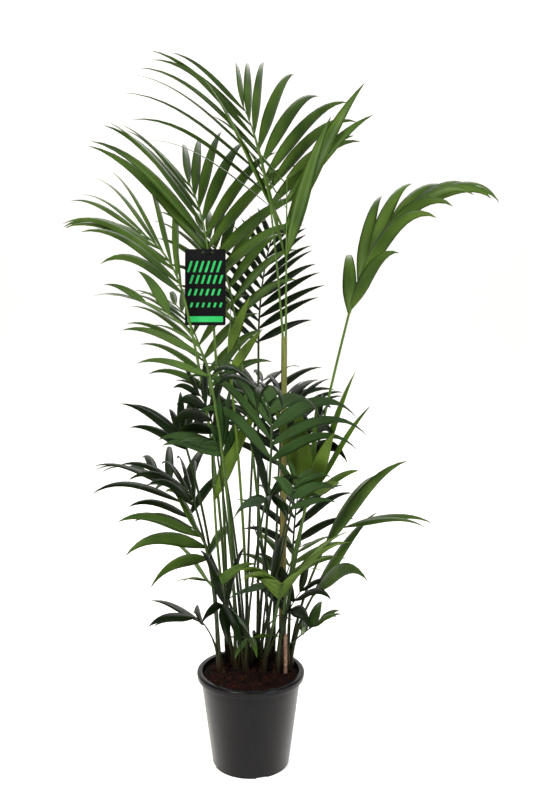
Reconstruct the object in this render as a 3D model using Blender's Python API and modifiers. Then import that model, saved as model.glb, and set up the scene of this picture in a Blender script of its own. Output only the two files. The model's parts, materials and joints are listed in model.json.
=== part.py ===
"""Kentia palm in its round nursery pot: pot, soil, sheathed stems, feather fronds and hang tag.

Metres, +Z up. The origin is the middle of the pot's flat underside, and the front, where the
hang tag faces, is -Y. A frond is one rib, its petiole and then its rachis, with leaflets in
pairs. Every rib and leaflet is worked out from the sizes in FRONDS, and a leaflet that would
touch another plant part is turned a little, cut short, or left out.
"""

import math
from dataclasses import dataclass
from itertools import product

import bmesh
import bpy
from mathutils import Matrix, Vector
from mathutils.bvhtree import BVHTree

# Pot: a round moulded pot of 24 cm with a turned-over rim.
POT_HEIGHT = 0.225
POT_BASE_RADIUS = 0.0875
POT_TOP_RADIUS = 0.1125
POT_WALL = 0.0025
POT_FLOOR = 0.003
POT_SIDES = 32
RIM_RADIUS = 0.1225
RIM_HEIGHT = 0.016
RIM_WALL = 0.0028
DRAIN_SLOTS = 4
DRAIN_SLOT = (0.010, 0.026, 0.005)
DRAIN_SLOT_TURN = 17
# Soil fills the pot to a little under its rim.
SOIL_LEVEL = 0.212
GAP = 0.0003
# Stems: the sheathed feet that the fronds rise from.
STEM_SIDES_RESOLUTION = 2
STEM_FLARE_HEIGHT = 0.012
# The dry stub of a cut-off petiole beside the right stems.
OLD_STUB_X, OLD_STUB_Y = 0.079, -0.006
OLD_STUB_HEIGHT, OLD_STUB_RADIUS = 0.10, 0.0046
# Frond ribs.
FOOT_RISE = 0.006
SEAT_INSET = 1.05
PETIOLE_STEPS = 4
RACHIS_STEPS = 5
PETIOLE_FOOT_RADIUS = 0.0036
PETIOLE_TOP_RADIUS = 0.0027
RACHIS_TIP_RADIUS = 0.0016
# Leaflets.
LEAFLET_STEPS = 8
LEAFLET_RINGS_LONG, LEAFLET_RINGS_SHORT = (0, 3, 6), (0, 4)
LEAFLET_LONG = 0.26
LEAFLET_WIDTH_LEAST = 0.013
LEAFLET_WIDTH_SHARE = 0.05
LEAFLET_WIDTH_MOST = 0.034
LEAFLET_SLENDER = 0.15
LEAFLET_THICKNESS_SHARE = 0.0115
LEAFLET_THICKNESS_LEAST = 0.0016
LEAFLET_ROOT_SUNK = 0.001
LEAFLET_STAGGER = 0.13
LEAFLET_CLEARANCE = 0.0008
RIB_CLEARANCE = 0.0007
LEAFLET_TURNS = (0, 7, -7, 14, -14, 21, -21, 28, -28)
LEAFLET_CUTS = (1, 0.8, 0.6)
# Hang tag: a card on a ring of cord round the rib of one tall frond.
TAG_FROND = "frond_left_tall"
TAG_ALONG_RACHIS = 0.31
TAG_SIZE = (0.092, 0.0012, 0.173)
TAG_CORNER = 0.004
TAG_AHEAD = 0.0075
TAG_HOLE_RADIUS = 0.0034
TAG_HOLE_DROP = 0.007
TAG_OFF_CENTRE = -0.005
TAG_HOLE_PLAY = 0.0011
TAG_RING_RADIUS = 0.011
TAG_RING_CORD = 0.0009
TAG_RING_TILT = 38
TAG_SIGHT_LINE = Vector((0.04, -0.6, 0.052))
TAG_FRONT_SHEETS = (-1, -0.5, 0, 0.5, 1)

PLANT = "kentia_palm"
DEEP, LEAF, FRESH = "#23401c", "#38611f", "#5f8a2c"


@dataclass(frozen=True)
class Stem:
    """A sheathed stem foot: its place on the soil, height, girth and lean."""

    name: str
    x: float
    y: float
    height: float
    foot_radius: float = 0.0145
    top_radius: float = 0.0118
    lean_x: float = 0.0
    lean_y: float = 0.0


@dataclass(frozen=True)
class Frond:
    """One frond, with its sizes in metres and its angles in degrees.

    The heading of 0 is +X and 90 is +Y, and the lean is from upright. The petiole leans
    further by bow, and the rachis by arch, up to its end. The seat is how far round the stem's
    top the foot stands from the heading. The spread of the leaflets from their rachis goes
    from the first angle at its foot to the second at its tip. The pitch turns the blades of the
    left and the right leaflets about their own lines.
    """

    name: str
    stem: str
    heading: float
    lean: float
    petiole: float
    blade: float
    bow: float = 12
    arch: float = 35
    drift: float = 0
    pairs: int = 7
    leaflet: float = 0.28
    spread: tuple = (55, 20)
    lift: float = 20
    droop: float = 45
    roll: float = 0
    width: float = 1.0
    girth: float = 1.0
    seat: float = 0
    pitch: tuple = (0, 0)
    tone: str = LEAF


STEMS = (
    Stem("stem_left", -0.050, 0.066, 0.050),
    Stem("stem_left_front", -0.034, 0.026, 0.034),
    Stem("stem_left_back", -0.070, 0.034, 0.040),
    Stem("stem_left_low", -0.066, -0.002, 0.026),
    Stem("stem_centre_front", -0.010, 0.014, 0.028, 0.0105, 0.0100),
    Stem("stem_centre_right", 0.030, 0.038, 0.040),
    Stem("stem_centre", -0.004, 0.044, 0.032),
    Stem("stem_middle", 0.016, 0.072, 0.060),
    Stem("stem_right", 0.058, 0.000, 0.036),
    Stem("stem_right_front", 0.026, 0.004, 0.028),
    Stem("stem_right_side", 0.086, 0.020, 0.032),
    Stem("stem_right_tall", 0.073, 0.050, 0.770, 0.0105, 0.0063, 0.002, 0.0),
    Stem("stem_back", 0.046, 0.076, 0.050),
    Stem("stem_back_left", -0.018, 0.088, 0.046),
)
FRONDS = (
    Frond(
        "frond_top", "stem_right_tall", 112, 11, 0.275, 0.25,
        bow=7, arch=13, drift=34, pairs=7, leaflet=0.41,
        spread=(48, 26), lift=-2, droop=50, roll=2, girth=0.72, pitch=(-68, 0), seat=70, tone=LEAF,
    ),
    Frond(
        "frond_top_right", "stem_right_tall", 88, 2, 0.16, 0.19,
        bow=8, arch=20, drift=0, pairs=4, leaflet=0.42,
        spread=(14, 42), lift=8, droop=30, roll=-12, width=1.15, girth=0.72, pitch=(-60, 0), seat=-90, tone=LEAF,
    ),
    Frond(
        "frond_back_comb", "stem_middle", 90, 18, 0.70, 0.32,
        bow=12, arch=10, drift=-22, pairs=9, leaflet=0.20,
        spread=(58, 28), lift=14, droop=26, roll=-14, tone=DEEP,
    ),
    Frond(
        "frond_left_tall", "stem_left", 115, 3, 0.82, 0.26,
        bow=6, arch=36, drift=13, pairs=7, leaflet=0.39,
        spread=(54, 21), lift=7, droop=42, roll=-9, tone=LEAF,
    ),
    Frond(
        "frond_far_left", "stem_left", 183, 0, 0.78, 0.21,
        bow=12, arch=50, drift=8, pairs=7, leaflet=0.34,
        spread=(52, 17), lift=-3, droop=52, roll=26, tone=LEAF,
    ),
    Frond(
        "frond_left_low_arch", "stem_left_front", 258, 1, 0.70, 0.27,
        bow=30, arch=40, drift=-54, pairs=6, leaflet=0.19,
        spread=(62, 13), lift=32, droop=48, roll=-27, tone=LEAF,
    ),
    Frond(
        "frond_right_long", "stem_right", 11, 8, 0.79, 0.35,
        bow=6, arch=58, drift=-16, pairs=6, leaflet=0.27,
        spread=(28, 8), lift=6, droop=84, roll=-8, width=1.3, pitch=(-45, 45), tone=LEAF,
    ),
    Frond(
        "frond_left_lance", "stem_left_front", 186, 10, 0.37, 0.02,
        bow=-8, arch=0, drift=8, pairs=1, leaflet=0.37,
        spread=(15, 7), lift=21, droop=26, roll=0, width=1.5, tone=FRESH,
    ),
    Frond(
        "frond_right_bright", "stem_right", -40, 6, 0.39, 0.03,
        bow=12, arch=51, drift=-22, pairs=4, leaflet=0.32,
        spread=(32, 11), lift=47, droop=26, roll=-6, width=1.35, seat=-20, tone=FRESH,
    ),
    Frond(
        "frond_front_bright", "stem_right_front", -61, 24, 0.18, 0.06,
        bow=-4, arch=29, drift=-31, pairs=5, leaflet=0.25,
        spread=(32, 33), lift=3, droop=62, roll=-13, width=0.95, tone=FRESH,
    ),
    Frond(
        "frond_centre_bright", "stem_centre", -104, 4, 0.69, 0.11,
        bow=15, arch=16, drift=27, pairs=3, leaflet=0.19,
        spread=(30, 10), lift=14, droop=9, roll=39, tone=FRESH,
    ),
    Frond(
        "frond_centre_dark", "stem_middle", -81, 23, 0.49, 0.23,
        bow=-4, arch=43, drift=-34, pairs=6, leaflet=0.27,
        spread=(50, 15), lift=20, droop=112, roll=23, width=1.35, tone=DEEP,
    ),
    Frond(
        "frond_left_fan", "stem_left_back", 139, 0, 0.47, 0.05,
        bow=23, arch=33, drift=-9, pairs=4, leaflet=0.19,
        spread=(41, 15), lift=7, droop=45, roll=16, width=1.1, tone=DEEP,
    ),
    Frond(
        "frond_left_lower_1", "stem_left_back", 150, 0, 0.34, 0.07,
        bow=19, arch=67, drift=3, pairs=5, leaflet=0.21,
        spread=(41, 21), lift=-2, droop=72, roll=-10, width=1.2, seat=60, tone=DEEP,
    ),
    Frond(
        "frond_left_lower_2", "stem_left_low", 156, 1, 0.24, 0.09,
        bow=9, arch=56, drift=4, pairs=4, leaflet=0.26,
        spread=(73, 7), lift=-8, droop=70, roll=5, width=1.3, tone=LEAF,
    ),
    Frond(
        "frond_left_lower_3", "stem_left_low", 244, 1, 0.19, 0.03,
        bow=15, arch=53, drift=-26, pairs=2, leaflet=0.19,
        spread=(43, 9), lift=8, droop=51, roll=-5, width=1.3, girth=0.62, tone=LEAF,
    ),
    Frond(
        "frond_right_vee", "stem_right_side", -22, 9, 0.16, 0.04,
        bow=19, arch=38, drift=-6, pairs=1, leaflet=0.37,
        spread=(41, 14), lift=-3, droop=48, roll=-8, width=1.1, pitch=(-50, 50), tone=LEAF,
    ),
    Frond(
        "frond_right_lower", "stem_right_side", 26, 9, 0.26, 0.07,
        bow=21, arch=42, drift=-32, pairs=2, leaflet=0.39,
        spread=(30, 4), lift=-3, droop=52, roll=26, width=0.95, pitch=(-55, 55), seat=20, tone=LEAF,
    ),
    Frond(
        "frond_base_left", "stem_left_low", 189, 2, 0.10, 0.03,
        bow=33, arch=47, drift=-4, pairs=2, leaflet=0.22,
        spread=(50, 19), lift=-3, droop=59, roll=-23, width=1.5, girth=0.62, pitch=(40, -40), seat=20, tone=DEEP,
    ),
    Frond(
        "frond_base_front", "stem_centre", -94, 15, 0.05, 0.04,
        bow=28, arch=53, drift=-5, pairs=2, leaflet=0.15,
        spread=(64, 17), lift=12, droop=62, roll=-14, width=1.3, girth=0.62, seat=40, tone=LEAF,
    ),
    Frond(
        "frond_base_middle", "stem_middle", 265, 34, 0.05, 0.09,
        bow=42, arch=63, drift=22, pairs=1, leaflet=0.2,
        spread=(65, 19), lift=27, droop=36, roll=14, width=1.3, girth=0.62, seat=-40, tone=DEEP,
    ),
    Frond(
        "frond_base_centre", "stem_centre", -4, 21, 0.10, 0.01,
        bow=22, arch=56, drift=-15, pairs=2, leaflet=0.22,
        spread=(61, 14), lift=-6, droop=76, roll=26, width=1.2, girth=0.62, tone=LEAF,
    ),
    Frond(
        "frond_base_right", "stem_right", -5, 45, 0.08, 0.05,
        bow=4, arch=15, drift=22, pairs=3, leaflet=0.11,
        spread=(83, 10), lift=25, droop=53, roll=6, width=1.6, girth=0.62, pitch=(-40, 40), seat=80, tone=LEAF,
    ),
    Frond(
        "frond_centre_low_front", "stem_centre_front", -63, 7, 0.41, 0.03,
        bow=14, arch=63, drift=21, pairs=3, leaflet=0.18,
        spread=(60, 20), lift=20, droop=71, roll=-45, width=1.4, girth=0.8, seat=-40, tone=DEEP,
    ),
    Frond(
        "frond_centre_right_dark", "stem_centre_right", -66, 12, 0.39, 0.10,
        bow=13, arch=21, drift=-16, pairs=4, leaflet=0.14,
        spread=(56, 11), lift=4, droop=60, roll=14, width=1.4, girth=0.8, tone=DEEP,
    ),
    Frond(
        "frond_centre_low", "stem_centre_right", -79, 9, 0.20, 0.03,
        bow=28, arch=62, drift=19, pairs=3, leaflet=0.22,
        spread=(51, 11), lift=32, droop=52, roll=-58, width=1.4, girth=0.7, seat=-40, tone=DEEP,
    ),
    Frond(
        "frond_centre_left_dark", "stem_centre_front", -120, 5, 0.5, 0.05,
        bow=12, arch=45, drift=15, pairs=4, leaflet=0.17,
        spread=(51, 19), lift=27, droop=60, roll=-58, width=1.5, girth=0.8, seat=-140, tone=DEEP,
    ),
    Frond(
        "frond_foot_left", "stem_centre_front", -121, 12, 0.16, 0.03,
        bow=23, arch=77, drift=6, pairs=3, leaflet=0.2,
        spread=(66, 30), lift=32, droop=61, roll=55, width=1.6, girth=0.62, seat=-40, tone=DEEP,
    ),
    Frond(
        "frond_foot_right", "stem_right_front", 5, 22, 0.12, 0.06,
        bow=5, arch=11, drift=12, pairs=3, leaflet=0.18,
        spread=(71, 25), lift=25, droop=68, roll=-21, width=1.4, girth=0.62, seat=20, tone=DEEP,
    ),
    Frond(
        "frond_right_dark", "stem_centre_right", -1, 12, 0.43, 0.12,
        bow=0, arch=18, drift=12, pairs=4, leaflet=0.20,
        spread=(85, 30), lift=13, droop=80, roll=-6, width=1.3, girth=0.8, seat=-160, tone=DEEP,
    ),
    Frond(
        "frond_left_dark", "stem_left_front", 216, 4, 0.53, 0.10,
        bow=6, arch=28, drift=-6, pairs=4, leaflet=0.16,
        spread=(66, 18), lift=7, droop=70, roll=58, width=1.4, girth=0.8, seat=120, tone=DEEP,
    ),
    Frond(
        "frond_back_tall", "stem_back", 118, 8, 0.74, 0.28,
        bow=10, arch=45, drift=10, pairs=7, leaflet=0.25,
        spread=(52, 18), lift=20, droop=50, roll=0, tone=LEAF,
    ),
    Frond(
        "frond_back_right", "stem_back", 84, 10, 0.40, 0.22,
        bow=14, arch=50, drift=-4, pairs=7, leaflet=0.21,
        spread=(60, 20), lift=20, droop=55, roll=0, seat=-60, tone=DEEP,
    ),
    Frond(
        "frond_back_left", "stem_back_left", 118, 9, 0.58, 0.28,
        bow=14, arch=48, drift=8, pairs=7, leaflet=0.23,
        spread=(60, 20), lift=20, droop=50, roll=0, tone=LEAF,
    ),
    Frond(
        "frond_back_middle", "stem_back_left", 85, 14, 0.44, 0.24,
        bow=16, arch=50, drift=-6, pairs=5, leaflet=0.26,
        spread=(60, 20), lift=20, droop=55, roll=0, seat=-40, tone=DEEP,
    ),
    Frond(
        "frond_back_low_right", "stem_right_side", 84, 20, 0.25, 0.18,
        bow=20, arch=50, drift=0, pairs=5, leaflet=0.20,
        spread=(60, 20), lift=18, droop=60, roll=0, seat=180, tone=DEEP,
    ),
    Frond(
        "frond_back_low_left", "stem_back_left", 140, 20, 0.30, 0.2,
        bow=20, arch=50, drift=0, pairs=5, leaflet=0.25,
        spread=(60, 20), lift=18, droop=60, roll=0, seat=60, tone=DEEP,
    ),
    Frond(
        "frond_back_foot", "stem_back", 69, 28, 0.14, 0.12,
        bow=20, arch=40, drift=0, pairs=4, leaflet=0.19,
        spread=(60, 20), lift=18, droop=60, roll=0, girth=0.62, tone=LEAF,
    ),
)


def bend(heading, lean):
    """Unit vectors along, across and on the upper side of a rib at this heading and lean."""
    level = Vector((math.cos(heading), math.sin(heading), 0))
    up = Vector((0, 0, 1))
    along = math.sin(lean) * level + math.cos(lean) * up
    upper = math.sin(lean) * up - math.cos(lean) * level
    return along, level.cross(up), upper


def rib_of(frond, foot):
    """Points of the petiole and then the rachis, from the flat foot to past the last leaflet."""
    points = [foot, foot + Vector((0, 0, FOOT_RISE))]
    for step in range(PETIOLE_STEPS):
        lean = frond.lean + frond.bow * (step + 0.5) / PETIOLE_STEPS
        along, _, _ = bend(math.radians(frond.heading), math.radians(lean))
        points.append(points[-1] + along * frond.petiole / PETIOLE_STEPS)
    for step in range(RACHIS_STEPS):
        along, _, _ = rachis_frame(frond, (step + 0.5) / RACHIS_STEPS)
        points.append(points[-1] + along * frond.blade / RACHIS_STEPS)
    return points


def rachis_frame(frond, share):
    """Along, across and upper directions at this share of the rachis, with the frond's roll."""
    lean = math.radians(frond.lean + frond.bow + frond.arch * share**1.5)
    heading = math.radians(frond.heading + frond.drift * share)
    along, across, upper = bend(heading, lean)
    roll = math.radians(frond.roll)
    return (
        along,
        math.cos(roll) * across + math.sin(roll) * upper,
        math.cos(roll) * upper - math.sin(roll) * across,
    )


def rib_radii(frond):
    """Girth at each point of a rib, which thins from its foot to its tip."""
    radii = [PETIOLE_FOOT_RADIUS]
    for step in range(PETIOLE_STEPS + 1):
        share = step / PETIOLE_STEPS
        radii.append(PETIOLE_FOOT_RADIUS + share * (PETIOLE_TOP_RADIUS - PETIOLE_FOOT_RADIUS))
    for step in range(1, RACHIS_STEPS + 1):
        share = step / RACHIS_STEPS
        radii.append(PETIOLE_TOP_RADIUS + share * (RACHIS_TIP_RADIUS - PETIOLE_TOP_RADIUS))
    return [radius * frond.girth for radius in radii]


def station_shares(pairs):
    """Where along the rachis each pair of leaflets stands."""
    if pairs == 1:
        return [0.15]
    return [0.04 + 0.92 * pair / (pairs - 1) for pair in range(pairs)]


def leaflet_length(frond, share):
    """Leaflets are longest a quarter of the way up the blade and half that at its tip."""
    return frond.leaflet * (0.78 + 0.22 * min(share / 0.25, 1)) * (1 - 0.5 * share**2)


def leaflet_path(frond, rib, share, side, turn, length):
    """Centre, width direction and face direction at each step of one drooping leaflet."""
    rachis = rib[PETIOLE_STEPS + 1 :]
    place = share * RACHIS_STEPS
    step = min(int(place), RACHIS_STEPS - 1)
    root = rachis[step].lerp(rachis[step + 1], place - step)
    along, across, upper = rachis_frame(frond, share)
    spread = math.radians(frond.spread[0] + (frond.spread[1] - frond.spread[0]) * share + turn / 2)
    lift = math.radians(frond.lift + turn)
    course = math.cos(spread) * along + math.sin(spread) * (
        side * math.cos(lift) * across + math.sin(lift) * upper
    )
    width = (along - along.dot(course) * course).normalized()
    width = Matrix.Rotation(math.radians(frond.pitch[side > 0]) * side, 3, course) @ width
    piece = length / LEAFLET_STEPS
    centre = root - course * LEAFLET_ROOT_SUNK
    path = [(centre, width, course.cross(width) * -side)]
    for step in range(LEAFLET_STEPS):
        share_along = (step + 0.5) / LEAFLET_STEPS
        sink = math.radians(frond.droop) / LEAFLET_STEPS * (0.45 + 1.1 * share_along)
        course = (course + Vector((0, 0, -sink))).normalized()
        width = (width - width.dot(course) * course).normalized()
        centre = centre + course * piece
        path.append((centre, width, course.cross(width) * -side))
    return path


def width_share(share):
    """A leaflet is narrow at its root, widest a third of the way out and ends in a long point."""
    rising = 0.2 + 0.8 * math.sin(math.pi / 2 * min(share / 0.34, 1))
    falling = 1 - max(share - 0.34, 0) ** 1.7 / 0.66**1.7
    return rising * falling


def leaflet_shape(frond, path, length, grown=0.0):
    """Corner points and faces of a leaflet with a three-cornered section, grown by a clearance."""
    most = min(LEAFLET_WIDTH_LEAST + length * LEAFLET_WIDTH_SHARE, LEAFLET_WIDTH_MOST)
    most = min(most, length * LEAFLET_SLENDER) * frond.width
    ridge = max(length * LEAFLET_THICKNESS_SHARE, LEAFLET_THICKNESS_LEAST)
    corners = []
    rings = LEAFLET_RINGS_LONG if length > LEAFLET_LONG else LEAFLET_RINGS_SHORT
    for step in rings:
        centre, width, face = path[step]
        share = step / LEAFLET_STEPS
        half = most / 2 * width_share(share) + grown
        high = ridge * (1 - 0.5 * share) + grown
        corners.append(centre - width * half - face * grown)
        corners.append(centre + width * half - face * grown)
        corners.append(centre + face * high)
    tip, width, _ = path[-1]
    course = (tip - path[-2][0]).normalized()
    corners.append(tip + course * grown)
    faces = [(0, 1, 2)]
    last = 3 * (len(rings) - 1)
    for ring in range(len(rings) - 1):
        low, high = 3 * ring, 3 * ring + 3
        for a, b in ((0, 1), (1, 2), (2, 0)):
            faces.append((low + b, low + a, high + a, high + b))
    for a, b in ((0, 1), (1, 2), (2, 0)):
        faces.append((last + b, last + a, last + 3))
    return corners, faces


def tube_shape(points, radii, grown=0.0, sides=6):
    """Corner points and faces of a plain round tube, for the test of what touches what."""
    corners, faces = [], []
    for index, (point, radius) in enumerate(zip(points, radii)):
        before, after = points[max(index - 1, 0)], points[min(index + 1, len(points) - 1)]
        along = (after - before).normalized()
        across = along.orthogonal().normalized()
        if corners:
            across = (last_across - last_across.dot(along) * along).normalized()
        last_across = across
        other = along.cross(across)
        for side in range(sides):
            angle = math.tau * side / sides
            arm = math.cos(angle) * across + math.sin(angle) * other
            corners.append(point + arm * (radius + grown) / math.cos(math.pi / sides))
    for index in range(len(points) - 1):
        low, high = index * sides, (index + 1) * sides
        for side in range(sides):
            after = (side + 1) % sides
            faces.append((low + side, low + after, high + after, high + side))
    return corners, faces


class Space:
    """The shapes already placed, with the name of the piece that each belongs to."""

    def __init__(self):
        self.taken = []

    def add(self, owner, shape):
        """Keeps a shape as taken by its owner."""
        corners, faces = shape
        self.taken.append((owner, box_of(corners), BVHTree.FromPolygons(corners, faces)))

    def touches(self, owner, shape):
        """Whether a shape meets one that belongs to another piece."""
        corners, faces = shape
        low, high = box_of(corners)
        tree = None
        for other, (other_low, other_high), other_tree in self.taken:
            if other == owner:
                continue
            if any(low[i] > other_high[i] or high[i] < other_low[i] for i in range(3)):
                continue
            if tree is None:
                tree = BVHTree.FromPolygons(corners, faces)
            if tree.overlap(other_tree):
                return True
        return False


def box_of(corners):
    """Lowest and highest corner of a list of points."""
    low = [min(corner[i] for corner in corners) for i in range(3)]
    high = [max(corner[i] for corner in corners) for i in range(3)]
    return low, high


def painted(name, colour, roughness, metallic=0.0):
    """A Principled material from an sRGB hex colour."""
    parts = [int(colour[i : i + 2], 16) / 255 for i in (1, 3, 5)]
    linear = [p / 12.92 if p <= 0.04045 else ((p + 0.055) / 1.055) ** 2.4 for p in parts]
    material = bpy.data.materials.new(name)
    material.use_nodes = True
    shader = material.node_tree.nodes["Principled BSDF"]
    shader.inputs["Base Color"].default_value = (*linear, 1)
    shader.inputs["Roughness"].default_value = roughness
    shader.inputs["Metallic"].default_value = metallic
    material.diffuse_color = (*linear, 1)
    return material


def placed(name, mesh, collection, material):
    """An object in its collection with its material."""
    piece = bpy.data.objects.new(name, mesh)
    collection.objects.link(piece)
    piece.data.materials.append(material)
    return piece


def mesh_from(name, corners, faces):
    """A mesh from corner points and faces, with its faces turned outwards."""
    form = bmesh.new()
    points = [form.verts.new(corner) for corner in corners]
    for face in faces:
        form.faces.new([points[index] for index in face])
    bmesh.ops.recalc_face_normals(form, faces=form.faces)
    mesh = bpy.data.meshes.new(name)
    form.to_mesh(mesh)
    form.free()
    return mesh


def round_rod(name, points, radii, collection, material, resolution=0):
    """A tapering rod along the points: a bevelled curve with closed ends, made a mesh."""
    curve = bpy.data.curves.new(name, "CURVE")
    curve.dimensions = "3D"
    curve.bevel_depth = 1.0
    curve.bevel_resolution = resolution
    curve.use_fill_caps = True
    spline = curve.splines.new("POLY")
    spline.points.add(len(points) - 1)
    for knot, point, radius in zip(spline.points, points, radii):
        knot.co = (*point, 1)
        knot.radius = radius
    guide = bpy.data.objects.new(name + "_guide", curve)
    collection.objects.link(guide)
    graph = bpy.context.evaluated_depsgraph_get()
    mesh = bpy.data.meshes.new_from_object(guide.evaluated_get(graph))
    form = bmesh.new()
    form.from_mesh(mesh)
    bmesh.ops.remove_doubles(form, verts=form.verts, dist=1e-6)
    bmesh.ops.recalc_face_normals(form, faces=form.faces)
    form.to_mesh(mesh)
    form.free()
    mesh.materials.clear()
    bpy.data.objects.remove(guide)
    return placed(name, mesh, collection, material)


def turned(name, profile, sides, collection, material):
    """A solid of revolution: a profile at +X, top to bottom on its outer side, with a Screw."""
    mesh = bpy.data.meshes.new(name)
    corners = [(radius, 0, height) for radius, height in profile]
    edges = [(index, index + 1) for index in range(len(corners) - 1)]
    mesh.from_pydata(corners, edges, [])
    piece = placed(name, mesh, collection, material)
    screw = piece.modifiers.new("turned", "SCREW")
    screw.steps = screw.render_steps = sides
    screw.use_merge_vertices = True
    screw.merge_threshold = 0.00005
    screw.use_smooth_shade = False
    return piece


def make_pot(collection, cutters):
    """The pot: a tapering wall with a turned-over rim, a flat floor and slots at its foot."""
    rim_foot = POT_HEIGHT - RIM_HEIGHT
    inner_top = POT_TOP_RADIUS - POT_WALL
    profile = [
        (inner_top, POT_HEIGHT - 0.001),
        (inner_top + 0.001, POT_HEIGHT),
        (RIM_RADIUS - 0.003, POT_HEIGHT),
        (RIM_RADIUS - 0.0008, POT_HEIGHT - 0.0008),
        (RIM_RADIUS, POT_HEIGHT - 0.003),
        (RIM_RADIUS - 0.0008, rim_foot),
        (RIM_RADIUS - 0.0008 - RIM_WALL, rim_foot),
        (RIM_RADIUS - RIM_WALL, POT_HEIGHT - 0.004),
        (POT_TOP_RADIUS + 0.0035, POT_HEIGHT - 0.004),
        (POT_TOP_RADIUS, POT_HEIGHT - 0.0075),
        (POT_BASE_RADIUS + 0.001, 0.006),
        (POT_BASE_RADIUS, 0.0),
        (0.0, 0.0),
    ]
    floor_radius = POT_BASE_RADIUS - POT_WALL
    inside = [(0.0, POT_FLOOR), (floor_radius, POT_FLOOR), profile[0]]
    material = painted("charcoal_plastic", "#37373a", 0.5)
    pot = turned("pot", profile + inside, POT_SIDES, collection, material)
    deep, wide, tall = DRAIN_SLOT
    for slot in range(DRAIN_SLOTS):
        angle = math.tau * slot / DRAIN_SLOTS + math.radians(DRAIN_SLOT_TURN)
        bpy.ops.mesh.primitive_cube_add(size=1)
        cutter = bpy.context.object
        cutter.name = f"drain_slot_{slot + 1}"
        cutter.scale = (deep, wide, 2 * tall)
        cutter.location = (POT_BASE_RADIUS * math.cos(angle), POT_BASE_RADIUS * math.sin(angle), 0)
        cutter.rotation_euler = (0, 0, angle)
        move_to(cutter, cutters)
        cut(pot, cutter)
    return pot


def move_to(piece, collection):
    """Takes an object out of the scene's own collection into this one, as a hidden helper."""
    for holder in list(piece.users_collection):
        holder.objects.unlink(piece)
    collection.objects.link(piece)
    piece.hide_render = True
    piece.display_type = "WIRE"


def cut(piece, cutter):
    """Cuts the cutter's shape out of a piece."""
    boolean = piece.modifiers.new(cutter.name, "BOOLEAN")
    boolean.operation = "DIFFERENCE"
    boolean.solver = "EXACT"
    boolean.object = cutter


def pot_inner_radius(height):
    """Radius of the pot's inner wall at this height."""
    share = (height - POT_FLOOR) / (POT_HEIGHT - 0.001 - POT_FLOOR)
    low, high = POT_BASE_RADIUS - POT_WALL, POT_TOP_RADIUS - POT_WALL
    return low + share * (high - low)


def make_soil(collection):
    """The soil: it fills the pot to its own level, a hair clear of the wall."""
    low, high = POT_FLOOR + GAP, SOIL_LEVEL
    clear = 1.5 * GAP
    profile = [
        (0.0, high),
        (pot_inner_radius(high) - clear, high),
        (pot_inner_radius(low) - clear, low),
        (0.0, low),
    ]
    return turned("soil", profile, POT_SIDES, collection, painted("peat", "#3a2219", 0.95))


def pot_side():
    """The pot's outer side as a plain wide tube, which no leaflet may pass through."""
    points = [Vector((0, 0, 0)), Vector((0, 0, POT_HEIGHT / 2)), Vector((0, 0, POT_HEIGHT))]
    return tube_shape(points, [RIM_RADIUS] * 3, GAP, POT_SIDES)


def soil_top():
    """The soil's surface as a plain disc, which no leaflet may pass through."""
    corners = []
    for side in range(POT_SIDES):
        angle = math.tau * side / POT_SIDES
        corners.append(Vector((math.cos(angle), math.sin(angle), 0)) * POT_TOP_RADIUS)
        corners[-1].z = SOIL_LEVEL + GAP / 2
    return corners, [tuple(range(POT_SIDES))]


def stem_points(stem):
    """Centre line and girths of a stem, from its flat cut on the soil to its flat top."""
    foot = SOIL_LEVEL + GAP
    flare = STEM_FLARE_HEIGHT
    steps = 3 if stem.height < 0.3 else 8
    points = [Vector((stem.x, stem.y, foot)), Vector((stem.x, stem.y, foot + flare))]
    radii = [stem.foot_radius, stem.foot_radius * 0.85]
    for step in range(1, steps + 1):
        share = step / steps
        rise = foot + flare + (stem.height - flare - FOOT_RISE) * share
        lean = Vector((stem.lean_x, stem.lean_y, 0)) * share**1.3
        points.append(Vector((stem.x, stem.y, rise)) + lean)
        radii.append(radii[1] + (stem.top_radius - radii[1]) * share)
    points.append(points[-1] + Vector((0, 0, FOOT_RISE)))
    radii.append(stem.top_radius)
    return points, radii


def make_stem(stem, space, collection):
    """A sheathed stem: a tapering rod with a flared foot."""
    points, radii = stem_points(stem)
    space.add(stem.name, tube_shape(points, radii, sides=8))
    material = painted("sheath_" + stem.name, "#7d7444", 0.7)
    return round_rod(stem.name, points, radii, collection, material, STEM_SIDES_RESOLUTION)


def make_old_stub(space, collection):
    """The cut-off petiole that stands dry beside the right stems."""
    points = [
        Vector((OLD_STUB_X, OLD_STUB_Y, SOIL_LEVEL + GAP + rise))
        for rise in (0.0, 0.01, OLD_STUB_HEIGHT)
    ]
    radii = [OLD_STUB_RADIUS * 1.3, OLD_STUB_RADIUS, OLD_STUB_RADIUS * 0.95]
    space.add("old_petiole_stub", tube_shape(points, radii))
    material = painted("dry_petiole", "#b39a63", 0.85)
    return round_rod("old_petiole_stub", points, radii, collection, material, 1)


def seat_of(frond, stem):
    """The frond's foot: on the stem's flat top, towards the edge, a hair clear of it."""
    top = stem_points(stem)[0][-1]
    angle = math.radians(frond.heading + frond.seat)
    reach = max(stem.top_radius - PETIOLE_FOOT_RADIUS * frond.girth * SEAT_INSET, 0)
    return top + Vector((math.cos(angle), math.sin(angle), 0)) * reach + Vector((0, 0, GAP))


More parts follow.
